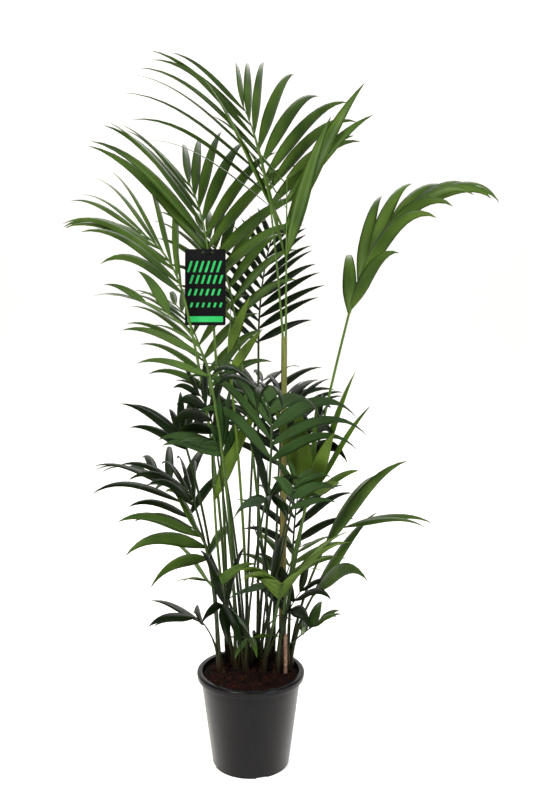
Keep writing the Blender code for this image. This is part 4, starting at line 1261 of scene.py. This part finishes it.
@dataclass
class Clump:
    """The stems' feet: sheaths that wrap the petioles' bases over fibrous heels."""

    sheath_sides: int = 16
    sheath_above_seat: float = 0.09
    sheath_most: float = 0.6
    foot_radius: float = 0.0052
    seat_radius: float = 0.0047
    below_soil: float = 0.006
    heel_below_soil: float = 0.004
    foot_spread: float = 0.72
    foot_shares: tuple[float, ...] = (0.0, 0.3, 0.6, 0.85)
    heel: tuple[float, ...] = (0.85, 0.62, 0.45, 0.36, 0.28, 0.2)
    heel_relief: float = 0.16
    sheath_relief: float = 0.06
    tall_relief: float = 0.05
    tall_parts: int = 5
    tall_top: float = 0.9
    tall_stem: str = "stem_right_tall"
    seam_side: float = 205.0
    seam_proud: float = 0.10

    def wrap(
        self, buffer: Buffer, line: Line, seed: str, relief: float, seam: int | None = None
    ) -> None:
        """Adds a sheath with fibres in relief along a line of points.

        Args:
            buffer: Where the sheath goes.
            line: Its centre line, from the soil up, with its girth at each point.
            seed: What fixes its chance.
            relief: How far the fibres stand out, as a share of the girth.
            seam: The side that holds the dark overlapping edge, which takes finish 1.
        """
        points, radii = line
        chance = random.Random(seed)
        sides = self.sheath_sides
        ridges = [chance.uniform(-relief, relief) for _ in range(sides)]
        turn = chance.uniform(0, math.tau)
        wander = chance.uniform(-0.5, 0.5)
        rings = []
        across = Vector((1, 0, 0))
        for index, (point, radius) in enumerate(zip(points, radii)):
            along = way_at(points, index)
            across = (across - across.dot(along) * along).normalized()
            other = along.cross(across)
            share = index / (len(points) - 1)
            ring = []
            # The fibres' relief fades up the sheath, and slow waves run round it.
            for side, even in enumerate(turns(sides)):
                angle = even + (0.0 if seam is not None else turn + wander * share)
                swell = 1 + ridges[side] * (1 - 0.6 * share) + 0.02 * math.sin(9 * share + side)
                if seam is not None and side in (seam, seam + 1):
                    swell += self.seam_proud
                arm = math.cos(angle) * across + math.sin(angle) * other
                ring.append(point + arm * radius * swell)
            rings.append(ring)
        middle = sum(radii) / len(radii)
        strips = [math.tau * middle * side / sides for side in range(sides + 1)]
        heights = [point.z - SOIL_LEVEL for point in points]
        buffer.loft(rings, strips, heights, [1 if side == seam else 0 for side in range(sides)])

    def dress(self, crown: Crown) -> None:
        """Makes the heels, the sheaths and the one tall stem."""
        sheaths, heels = Buffer(), Buffer()
        bearers = {stem.name: stem for stem in STEMS}
        tall = bearers.pop(self.tall_stem)
        for stem in bearers.values():
            points, radii = stem.line()
            low = [points[0] - UP * self.heel_below_soil] + points[1:]
            girths = [radius * share for radius, share in zip(radii, self.heel)]
            self.wrap(heels, (low, girths), stem.name, self.heel_relief)
        for frond in FRONDS:
            if frond.stem in bearers:
                line = self.sheath(frond, bearers[frond.stem], crown.ribs[frond.name])
                self.wrap(sheaths, line, frond.name, self.sheath_relief)
        settle(sheaths.piece("stem_sheaths", [SHORT_SHEATH.material()]), bearers)
        settle(heels.piece("stem_heels", [HEEL_FIBRE.material()]))
        self.dress_tall(tall)

    def sheath(self, frond: Frond, stem: Stem, rib: Sequence[Vector]) -> Line:
        """One petiole's sheath, from the soil past its seat, where it thins into the petiole."""
        seat = rib[0]
        centre = Vector((stem.x, stem.y, 0))
        out = Vector((seat.x, seat.y, 0)) - centre
        points, radii = [], []
        girth = 0.55 + 0.45 * frond.girth
        for share in self.foot_shares:
            level = SOIL_LEVEL - self.below_soil + (seat.z - SOIL_LEVEL + self.below_soil) * share
            spread = out * (self.foot_spread + (1 - self.foot_spread) * share)
            points.append(Vector((centre.x, centre.y, level)) + spread)
            radii.append(girth * (self.foot_radius + (self.seat_radius - self.foot_radius) * share))
        high = self.sheath_above_seat * (0.7 + 0.6 * random.Random(frond.name).random())
        reach = min(high, frond.petiole * self.sheath_most)
        petiole = PETIOLE_FOOT_RADIUS * frond.girth
        passed, index = 0.0, 0
        while passed < reach and index < len(rib) - 1:
            end = petiole * 1.04
            points.append(rib[index])
            radii.append(end + (girth * self.seat_radius - end) * (1 - passed / reach) ** 1.4)
            passed += (rib[index + 1] - rib[index]).length
            index += 1
        return points + [rib[index]], radii + [petiole]

    def dress_tall(self, stem: Stem) -> None:
        """The tall stem: one long wrapped sheath with a dark edge down its left."""
        points, radii = stem.line()
        fine_points, fine_radii = [], []
        for index in range(len(points) - 1):
            for part in range(self.tall_parts):
                share = part / self.tall_parts
                fine_points.append(points[index].lerp(points[index + 1], share))
                fine_radii.append(radii[index] + (radii[index + 1] - radii[index]) * share)
        line = (fine_points + [points[-1]], fine_radii + [radii[-1] * self.tall_top])
        buffer = Buffer()
        seam = int(self.seam_side / 360 * self.sheath_sides)
        self.wrap(buffer, line, stem.name, self.tall_relief, seam)
        piece = buffer.piece("stem_tall_sheath", [TALL_SHEATH.material(), SHEATH_EDGE.material()])
        settle(piece, [stem.name])


@dataclass
class OldStub:
    """The dry stub of a cut-off petiole beside the right stems."""

    x: float = 0.079
    y: float = -0.006
    height: float = 0.10
    radius: float = 0.0046
    relief: float = 0.12
    rises: tuple[float, ...] = (0.0, 0.1, 0.3, 0.5, 0.7, 0.85, 0.96, 1.0)
    girths: tuple[float, ...] = (1.3, 1.0, 0.96, 1.0, 0.95, 0.98, 0.9, 0.62)

    def spot(self, rise: float) -> Vector:
        """A point of its middle line, this far above its flat foot."""
        return Vector((self.x, self.y, SOIL_LEVEL + GAP + rise))

    def dress(self, clump: Clump) -> None:
        """A fibrous straw-brown rod with a ragged top."""
        points = [self.spot(rise * self.height) for rise in self.rises]
        radii = [self.radius * girth for girth in self.girths]
        buffer = Buffer()
        clump.wrap(buffer, (points, radii), "old_petiole_stub", self.relief)
        settle(buffer.piece("petiole_stub", [STUB_STRAW.material()]), ["old_petiole_stub"])

    def shape(self) -> Shape:
        """The stub as a plain tube, for the test of what touches what."""
        points = [self.spot(rise) for rise in (0.0, 0.01, self.height)]
        return tube_shape(points, [self.radius * 1.3, self.radius, self.radius * 0.95])


@dataclass
class Pot:
    """The round moulded pot, with a turned-over rim and slots at its foot."""

    base_radius: float = 0.0875
    wall: float = 0.0025
    floor: float = 0.003
    rim_height: float = 0.016
    rim_wall: float = 0.0028
    rim_round: float = 0.0052
    rim_steps: int = 6
    segments: int = 144
    slots: int = 4
    slot_size: tuple[float, float, float] = (0.010, 0.026, 0.005)
    slot_turn: float = 17.0
    crease: float = 32.0

    def profile(self) -> list[tuple[float, float]]:
        """Radius and height of the turned wall, from its inner lip outwards and back to the floor."""
        top, rim, height, base = POT_TOP_RADIUS, RIM_RADIUS, POT_HEIGHT, self.base_radius
        lip, under = top - self.wall, height - self.rim_height
        edge = [(lip, height - 0.0022), (lip + 0.0006, height - 0.0007)]
        edge += [(lip + 0.002, height), (rim - 0.0058, height)]
        for step in range(1, self.rim_steps + 1):
            angle = math.pi / 2 * (1 - step / self.rim_steps)
            out, up = self.rim_round * math.cos(angle), self.rim_round * math.sin(angle)
            edge.append((rim - self.rim_round + out, height - self.rim_round + up))
        skirt = [(rim - 0.0003, height - 0.009), (rim - 0.0009, under + 0.0012), (rim - 0.0016, under)]
        behind = [(rim - 0.0008 - self.rim_wall, under), (rim - self.rim_wall - 0.0006, height - 0.0062)]
        behind += [(top + 0.0045, height - 0.0042), (top + 0.0018, height - 0.0055)]
        outside = [(top, height - 0.0095), (top - 0.0009, height - 0.034), (top - 0.0014, height - 0.0352)]
        foot = [(base + 0.0012, 0.0075), (base + 0.0006, 0.0062), (base, 0.0012), (base - 0.0012, 0.0)]
        floor = [(0.0, 0.0), (0.0, self.floor), (base - self.wall, self.floor)]
        return edge + skirt + behind + outside + foot + floor

    def dress(self) -> None:
        """Turns the profile, cuts the slots and dresses the pot."""
        form = bmesh.new()
        corners = [form.verts.new((radius, 0, height)) for radius, height in self.profile()]
        edges = [form.edges.new(pair) for pair in zip(corners, corners[1:] + corners[:1])]
        bmesh.ops.spin(
            form,
            geom=corners + edges,
            cent=(0, 0, 0),
            axis=(0, 0, 1),
            angle=math.tau,
            steps=self.segments,
            use_merge=True,
        )
        bmesh.ops.remove_doubles(form, verts=form.verts, dist=1e-5)
        bmesh.ops.dissolve_degenerate(form, dist=1e-6, edges=form.edges)
        bmesh.ops.recalc_face_normals(form, faces=form.faces)
        turned = as_object("pot_turned", form)
        pot = cut_by(turned, "pot_shell", [self.cutter(slot) for slot in range(self.slots)])
        pot.data.materials.clear()
        pot.data.materials.append(POT_PLASTIC.material())
        smooth_by_angle(pot, self.crease)
        settle(pot, ["pot"])

    def cutter(self, slot: int) -> Object:
        """The box that one slot is cut with."""
        deep, wide, tall = self.slot_size
        angle = math.tau * slot / self.slots + math.radians(self.slot_turn)
        form = bmesh.new()
        bmesh.ops.create_cube(form, size=1)
        size = Matrix.Diagonal((deep, wide, 2 * tall, 1))
        spot = (self.base_radius * math.cos(angle), self.base_radius * math.sin(angle), 0)
        form.transform(Matrix.Translation(spot) @ Matrix.Rotation(angle, 4, "Z") @ size)
        return as_object(f"slot_cutter_{slot + 1}", form)


def as_object(name: str, form: bmesh.types.BMesh) -> Object:
    """A new object with the shape that was built, which is then freed."""
    mesh = bpy.data.meshes.new(name)
    form.to_mesh(mesh)
    form.free()
    return linked(name, mesh)


def smooth_by_angle(piece: Object, degrees: float) -> None:
    """Smooths a mesh apart from its edges sharper than this angle."""
    mesh = piece.data
    mesh.polygons.foreach_set("use_smooth", [True] * len(mesh.polygons))
    form = bmesh.new()
    form.from_mesh(mesh)
    for edge in form.edges:
        edge.smooth = len(edge.link_faces) == 2 and edge.calc_face_angle(0.0) < math.radians(degrees)
    form.to_mesh(mesh)
    form.free()


@dataclass
class Soil:
    """Peat and coir, heaped a little round the stems, with chips and fibres on top."""

    rings: int = 44
    segments: int = 120
    low: float = 0.0033
    wall_foot: float = 0.003
    wall_rise: float = POT_HEIGHT - 0.004
    foot_radius: float = 0.085
    widening: float = 0.025
    wall_gap: float = 0.0006
    shoulder: float = 0.012
    proud: float = 0.0005
    lump_scale: float = 55
    lump_height: float = 0.0038
    grit_scale: float = 210
    grit_height: float = 0.0016
    heap_height: float = 0.0042
    ridge_height: float = 0.002
    ridge_at: float = 0.8
    ridge_width: float = 0.25
    grid: int = 40
    bare_edge: float = 0.004
    seed: int = 11

    def radius(self, height: float) -> float:
        """Radius of the pot's inner wall at this height, less a hair."""
        share = (height - self.wall_foot) / self.wall_rise
        return self.foot_radius + share * self.widening - self.wall_gap

    def height(self, x: float, y: float) -> float:
        """Height of the soil's surface here: lumps and grit, a low heap and a ridge near the edge."""
        reach = math.hypot(x, y) / self.radius(SOIL_LEVEL)
        spot = Vector((x, y, 0.3))
        lumps = self.lump_height * noise.fractal(spot * self.lump_scale, 0.8, 2.0, 4)
        lumps += self.grit_height * noise.noise(spot * self.grit_scale)
        heap = self.heap_height * (1 - reach**2)
        heap += self.ridge_height * max(0.0, 1 - abs(reach - self.ridge_at) / self.ridge_width)
        return SOIL_LEVEL + self.proud + heap + lumps * (1 - 0.6 * reach**6)

    def ring(self, radius: float, level: float | None = None) -> list[Vector]:
        """A ring of points at this level, or on the soil's surface."""
        spots = [(radius * math.cos(angle), radius * math.sin(angle)) for angle in turns(self.segments)]
        return [Vector((x, y, self.height(x, y) if level is None else level)) for x, y in spots]

    def bed(self) -> Object:
        """The soil as one closed solid with its uneven top."""
        reach = self.radius(SOIL_LEVEL)
        rings = [self.ring(self.radius(self.low), self.low)]
        rings.append(self.ring(reach * 0.995, SOIL_LEVEL - self.shoulder))
        rings += [self.ring(reach * (1 - ring / self.rings)) for ring in range(self.rings)]
        across = [reach * math.tau * side / self.segments for side in range(self.segments + 1)]
        along = [0.01 * index for index in range(len(rings))]
        buffer = Buffer()
        buffer.loft(rings, across, along, [0] * self.segments, Vector((0, 0, self.height(0, 0))))
        return buffer.piece("soil_bed", [PEAT.material()])

    def scatter(self, crumbs: ShapeTree, name: str, finish: DryFibre, values: dict) -> None:
        """Strews one kind of crumb over the soil's top."""
        buffer = Buffer()
        reach, grid = self.radius(SOIL_LEVEL) - self.bare_edge, self.grid
        steps = [-reach + 2 * reach * step / grid for step in range(grid + 1)]
        buffer.points = [Vector((x, y, self.height(x, y))) for x in steps for y in steps]
        for i in range(grid):
            for j in range(grid):
                first = i * (grid + 1) + j
                corners = (first, first + grid + 1, first + grid + 2, first + 1)
                if all(math.hypot(*buffer.points[corner].xy) < reach for corner in corners):
                    buffer.face(corners, 0, [(0.0, 0.0)] * 4)
        ground = buffer.piece(name + "_ground", [])
        settle(crumbs.run(ground, name, values | {"Finish": finish.material()}))

    def dress(self) -> None:
        """Makes the bed, the chips and the fibres."""
        settle(self.bed(), ["soil"])
        crumbs = crumb_tree()
        chips = {"Density": 30000.0, "Least": 0.0013, "Most": 0.0052, "Slender": 0.55, "Seed": self.seed}
        fibres = {"Density": 1800.0, "Least": 0.003, "Most": 0.008, "Slender": 0.1, "Seed": self.seed + 1}
        self.scatter(crumbs, "soil_chips", PEAT_CHIP, chips)
        self.scatter(crumbs, "soil_fibres", COIR, fibres)


def crumb_tree() -> ShapeTree:
    """A tree that strews small faceted crumbs over a surface, lying every way."""
    sizes = [(label, "Float") for label in ("Density", "Least", "Most", "Slender")]
    crumbs = ShapeTree("crumbs", sizes + [("Seed", "Int"), ("Finish", "Material")])
    start = crumbs.start
    ground = {"Mesh": start["Geometry"], "Density": start["Density"], "Seed": start["Seed"]}
    spots = crumbs.add(
        "GeometryNodeDistributePointsOnFaces", {"distribute_method": "RANDOM"}, ground
    )
    ball = crumbs.add("GeometryNodeMeshIcoSphere", None, {"Radius": 1.0, "Subdivisions": 1})
    full_turn = 6.283
    turn = crumbs.add("FunctionNodeRandomValue", {"data_type": "FLOAT_VECTOR"}, {1: (full_turn,) * 3})
    span = {2: start["Least"], 3: start["Most"]}
    size = crumbs.add("FunctionNodeRandomValue", {"data_type": "FLOAT"}, span).outputs[1]
    thin = crumbs.add("ShaderNodeMath", {"operation": "MULTIPLY"}, {0: size, 1: start["Slender"]})
    shape = {"X": size, "Y": thin.outputs[0], "Z": thin.outputs[0]}
    scale = crumbs.add("ShaderNodeCombineXYZ", None, shape)
    strewn = {
        "Points": spots.outputs["Points"],
        "Instance": ball.outputs["Mesh"],
        "Rotation": turn.outputs[0],
        "Scale": scale.outputs[0],
    }
    crumbs.end(crumbs.add("GeometryNodeInstanceOnPoints", None, strewn).outputs[0])
    return crumbs


@dataclass
class HangTag:
    """The hang tag: a laminated card on a loop of cord, printed with plain bars and a band.

    Its print is in metres from the card's middle: rows of slanted bars, and the band below them.
    """

    size: tuple[float, float, float] = (0.092, 0.0012, 0.173)
    corner: float = 0.004
    ahead: float = 0.0075
    hole_radius: float = 0.0034
    hole_sides: int = 24
    hole_drop: float = 0.007
    hole_play: float = 0.0011
    off_centre: float = -0.005
    ring_radius: float = 0.011
    ring_cord: float = 0.0009
    ring_tilt: float = 38.0
    ring_steps: int = 48
    cord_sides: int = 10
    print_proud: float = 0.0002
    print_sunk: float = 0.0001
    bar_rows: tuple[float, ...] = (0.026, 0.02, 0.015, 0.011)
    bar_columns: int = 6
    bar_size: tuple[float, float] = (0.0052, 0.0018)
    bar_pitch: tuple[float, float] = (0.0132, 0.029)
    bar_shift: float = 0.002
    bars_up: float = 0.27
    bar_lean: float = 0.32
    band_size: tuple[float, float] = (0.013, 0.002)
    band_up: float = 0.014
    band_margin: float = 0.012
    sight_line: Vector = field(default_factory=lambda: Vector((0.04, -0.6, 0.052)))
    front_sheets: tuple[float, ...] = (-1, -0.5, 0, 0.5, 1)
    sideways: Vector = field(default_factory=lambda: Vector((1, 0, 0)))
    upward: Vector = field(init=False)
    forward: Vector = field(init=False)
    slope: Vector = field(init=False)
    ring_centre: Vector = field(init=False)
    middle: Vector = field(init=False)
    hole_side: float = field(init=False)

    def lay(self, rachis: Sequence[Vector]) -> None:
        """Works out where the loop and the card hang on their rachis."""
        place = TAG_ALONG_RACHIS * (len(rachis) - 1)
        step = int(place)
        along = rachis[step + 1] - rachis[step]
        self.upward = Vector((0, along.y, along.z)).normalized()
        self.forward = Vector((0, -self.upward.z, self.upward.y))
        on_rib = rachis[step].lerp(rachis[step + 1], place - step)
        tilt = math.radians(self.ring_tilt)
        level, deep = self.ring_radius * math.cos(tilt), self.ring_radius * math.sin(tilt)
        ring_ahead = level - (PETIOLE_TOP_RADIUS + 2 * GAP + self.ring_cord)
        self.ring_centre = on_rib + self.forward * ring_ahead
        self.slope = (self.forward * level - self.upward * deep).normalized()
        threaded = math.acos((self.ahead - ring_ahead) / level)
        self.hole_side = self.ring_radius * math.sin(threaded)
        down = deep * math.cos(threaded) + self.hole_radius - self.ring_cord - self.hole_play
        holes = on_rib + self.forward * self.ahead - self.upward * down
        drop = self.hole_drop - self.size[2] / 2
        self.middle = holes + self.upward * drop + self.sideways * self.off_centre

    def front(self) -> Shape:
        """The space before the card, which leaflets keep out of, as upright and level sheets."""
        wide = self.sideways * self.size[0] / 2
        tall = self.upward * self.size[2] / 2
        corners: list[Vector] = []
        faces: list[tuple[int, ...]] = []
        for share in self.front_sheets:
            for across, half in ((wide * share, tall), (tall * share, wide)):
                first = len(corners)
                ends = [self.middle + (across - half), self.middle + (across + half)]
                corners += ends + [end + self.sight_line for end in reversed(ends)]
                faces.append(tuple(range(first, first + 4)))
        return corners, faces

    def board_shape(self) -> Shape:
        """The card as a plain box, for the test of what touches what."""
        wide, thick, tall = self.size
        halves = (-0.5, 0.5)
        spots = [(x, y, z) for x in halves for y in halves for z in halves]
        corners = [self.spot(x * wide, y * thick, z * tall) for x, y, z in spots]
        return corners, [(0, 1, 3, 2), (4, 6, 7, 5), (0, 4, 5, 1), (2, 3, 7, 6), (0, 2, 6, 4), (1, 5, 7, 3)]

    def spot(self, across: float, back: float, up: float) -> Vector:
        """A point of the card from its middle, in its own directions."""
        return self.middle + self.sideways * across - self.forward * back + self.upward * up

    def plate(
        self, buffer: Buffer, outline: Sequence[tuple[float, float]], front: float, back: float
    ) -> None:
        """Adds a flat plate with an anticlockwise outline, between two depths from the card's middle."""
        rings = [[self.spot(x, depth, z) for x, z in outline] for depth in (back, front)]
        sides = len(outline)
        buffer.loft(rings, [0.001 * side for side in range(sides + 1)], [0.0, back - front], [0] * sides)

    @staticmethod
    def rounded(
        middle: tuple[float, float], wide: float, tall: float, corner: float, lean: float = 0.0
    ) -> list[tuple[float, float]]:
        """Outline of a rounded bar, anticlockwise as seen from the front, leaning by shear."""
        points = []
        steps = 4
        for turn, (sx, sz) in enumerate(((1, 1), (-1, 1), (-1, -1), (1, -1))):
            for step in range(steps + 1):
                angle = math.pi / 2 * (turn + step / steps)
                x = sx * (wide / 2 - corner) + corner * math.cos(angle)
                z = sz * (tall / 2 - corner) + corner * math.sin(angle)
                points.append((middle[0] + x + z * lean, middle[1] + z))
        return points

    def dress(self, rods: ShapeTree) -> None:
        """Makes the card, its print and the loop."""
        wide, thick, tall = self.size
        buffer = Buffer()
        self.plate(buffer, self.rounded((0, 0), wide, tall, self.corner), -thick / 2, thick / 2)
        card = buffer.piece("tag_blank", [BOARD_BLACK.material()], smooth=False)
        card = cut_by(card, "tag_board", [self.hole(side) for side in (-1, 1)])
        settle(card, ["tag_card"])
        settle(self.printing())
        settle(self.loop(rods), ["tag_tie"])

    def hole(self, side: int) -> Object:
        """The round bar that one of the card's holes is cut with."""
        _, thick, tall = self.size
        x, z = side * self.hole_side - self.off_centre, tall / 2 - self.hole_drop
        reach = self.hole_radius
        ring = [(x + reach * math.cos(a), z + reach * math.sin(a)) for a in turns(self.hole_sides)]
        buffer = Buffer()
        self.plate(buffer, ring, -3 * thick, 3 * thick)
        return buffer.piece(f"tag_hole_{side + 2}", [], smooth=False)

    def printing(self) -> Object:
        """The generic print: rows of slanted green bars over a plain green band."""
        wide, thick, tall = self.size
        buffer = Buffer()
        front, back = -thick / 2 - self.print_proud, -thick / 2 + self.print_sunk
        across, down = self.bar_pitch
        bar_wide, bar_corner = self.bar_size
        for row, bar_tall in enumerate(self.bar_rows):
            z = tall * self.bars_up - row * down
            for column in range(self.bar_columns):
                x = (column - (self.bar_columns - 1) / 2) * across + self.bar_shift * (1 if row % 2 else -1)
                bar = self.rounded((x, z), bar_wide, bar_tall, bar_corner, self.bar_lean)
                self.plate(buffer, bar, front, back)
        band_tall, band_corner = self.band_size
        middle = (0, -tall / 2 + self.band_up)
        band = self.rounded(middle, wide - self.band_margin, band_tall, band_corner)
        self.plate(buffer, band, front, back)
        return buffer.piece("tag_print", [PRINT_GREEN.material()], smooth=False)

    def loop(self, rods: ShapeTree) -> Object:
        """The closed loop of cord that the card hangs on."""
        points = []
        for angle in turns(self.ring_steps):
            arm = math.cos(angle) * self.sideways + math.sin(angle) * self.slope
            points.append(self.ring_centre + arm * self.ring_radius)
        line = curves("tag_loop_line", [(points, [self.ring_cord] * self.ring_steps)], closed=True)
        return rods.run(line, "tag_loop", {"Sides": self.cord_sides, "Finish": CORD_BLACK.material()})


@dataclass(frozen=True)
class SoftBox:
    """A square soft lamp: its place and side in metres, its power in watts and its colour."""

    name: str
    place: tuple[float, float, float]
    side: float
    power: float
    colour: str

    def hang(self, aim: Vector) -> None:
        """Hangs the lamp so that it looks at a point."""
        light = bpy.data.lights.new(self.name, "AREA")
        light.size, light.energy = self.side, self.power
        light.color = linear(self.colour)[:3]
        lamp = linked(self.name, light)
        lamp.location = self.place
        lamp.rotation_euler = (aim - Vector(self.place)).to_track_quat("-Z", "Y").to_euler()


@dataclass
class Studio:
    """Pale paper sweep, soft light and the photograph's camera."""

    camera_place: tuple[float, float, float] = (0.036, -2.4, 1.308)
    camera_tilt: float = 79.0
    lens: float = 50.0
    paper_half_width: float = 9.0
    paper_front: float = -7.0
    paper_back: float = 5.0
    paper_top: float = 9.0
    sweep_radius: float = 2.5
    sweep_steps: int = 12
    sky: float = 0.3
    sky_colour: str = "#fdfdff"
    aim: tuple[float, float, float] = (0, 0, 0.8)
    lamps: tuple[SoftBox, ...] = (
        SoftBox("key_soft_box", (-1.7, -2.4, 3.2), 1.3, 130.0, "#fffaf0"),
        SoftBox("fill_soft_box", (2.3, -2.2, 2.4), 1.4, 70.0, "#f6f9ff"),
        SoftBox("back_soft_box", (0.4, 2.6, 3.2), 2.0, 60.0, "#ffffff"),
    )

    def paper(self) -> None:
        """A floor that sweeps up behind the plant."""
        line = [(self.paper_front, 0.0), (self.paper_back, 0.0)]
        for step in range(1, self.sweep_steps + 1):
            angle = math.pi / 2 * step / self.sweep_steps
            out, up = self.sweep_radius * math.sin(angle), self.sweep_radius * (1 - math.cos(angle))
            line.append((self.paper_back + out, up))
        line.append((self.paper_back + self.sweep_radius, self.paper_top))
        half = self.paper_half_width
        points = [(x, y, z) for y, z in line for x in (-half, half)]
        faces = [(2 * i, 2 * i + 1, 2 * i + 3, 2 * i + 2) for i in range(len(line) - 1)]
        mesh = bpy.data.meshes.new("studio_floor")
        mesh.from_pydata(points, [], faces)
        mesh.polygons.foreach_set("use_smooth", [True] * len(faces))
        mesh.materials.append(Backdrop().material())
        linked("studio_floor", mesh)

    def camera(self) -> None:
        """The camera, level across and tilted down a little."""
        data = bpy.data.cameras.new("photo_camera")
        data.lens = self.lens
        view = linked("photo_camera", data)
        view.location = self.camera_place
        view.rotation_euler = (math.radians(self.camera_tilt), 0, 0)
        bpy.context.scene.camera = view

    def build(self) -> None:
        """Camera, paper, world and lamps."""
        self.camera()
        self.paper()
        world = bpy.data.worlds.new("studio_world")
        world.use_nodes = True
        sky = world.node_tree.nodes["Background"]
        sky.inputs["Color"].default_value = linear(self.sky_colour)
        sky.inputs["Strength"].default_value = self.sky
        bpy.context.scene.world = world
        bpy.context.scene.view_settings.view_transform = "Standard"
        for lamp in self.lamps:
            lamp.hang(Vector(self.aim))


def taken_space(stub: OldStub) -> Space:
    """The space of the pot, the soil, the stems and the stub, which leaflets keep clear of."""
    space, sides = Space(), 32
    pot_line = [UP * 0, UP * POT_HEIGHT / 2, UP * POT_HEIGHT]
    space.add("pot", tube_shape(pot_line, [RIM_RADIUS] * 3, GAP, sides))
    level = UP * (SOIL_LEVEL + 0.004)
    arms = [Vector((math.cos(angle), math.sin(angle), 0)) for angle in turns(sides)]
    space.add("soil", ([level + arm * POT_TOP_RADIUS for arm in arms], [tuple(range(sides))]))
    for stem in STEMS:
        space.add(stem.name, tube_shape(*stem.line(), sides=8))
    space.add("old_petiole_stub", stub.shape())
    return space


def main() -> None:
    """Loads the frame and dresses each part of it in turn."""
    logging.basicConfig(level=logging.INFO, format="%(name)s %(message)s")
    for thing in list(bpy.data.objects):
        bpy.data.objects.remove(thing)
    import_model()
    Studio().build()
    stub, crown, clump, tag = OldStub(), Crown(), Clump(), HangTag()
    space = taken_space(stub)
    crown.place_ribs(space)
    tag.lay(crown.coarse_rachis(next(frond for frond in FRONDS if frond.name == TAG_FROND)))
    space.add("tag_card", tag.board_shape())
    space.add("tag_front", tag.front())
    rods = rod_tree()
    Pot().dress()
    Soil().dress()
    clump.dress(crown)
    stub.dress(clump)
    tag.dress(rods)
    crown.dress(space, rods)


if __name__ == "__main__":
    main()
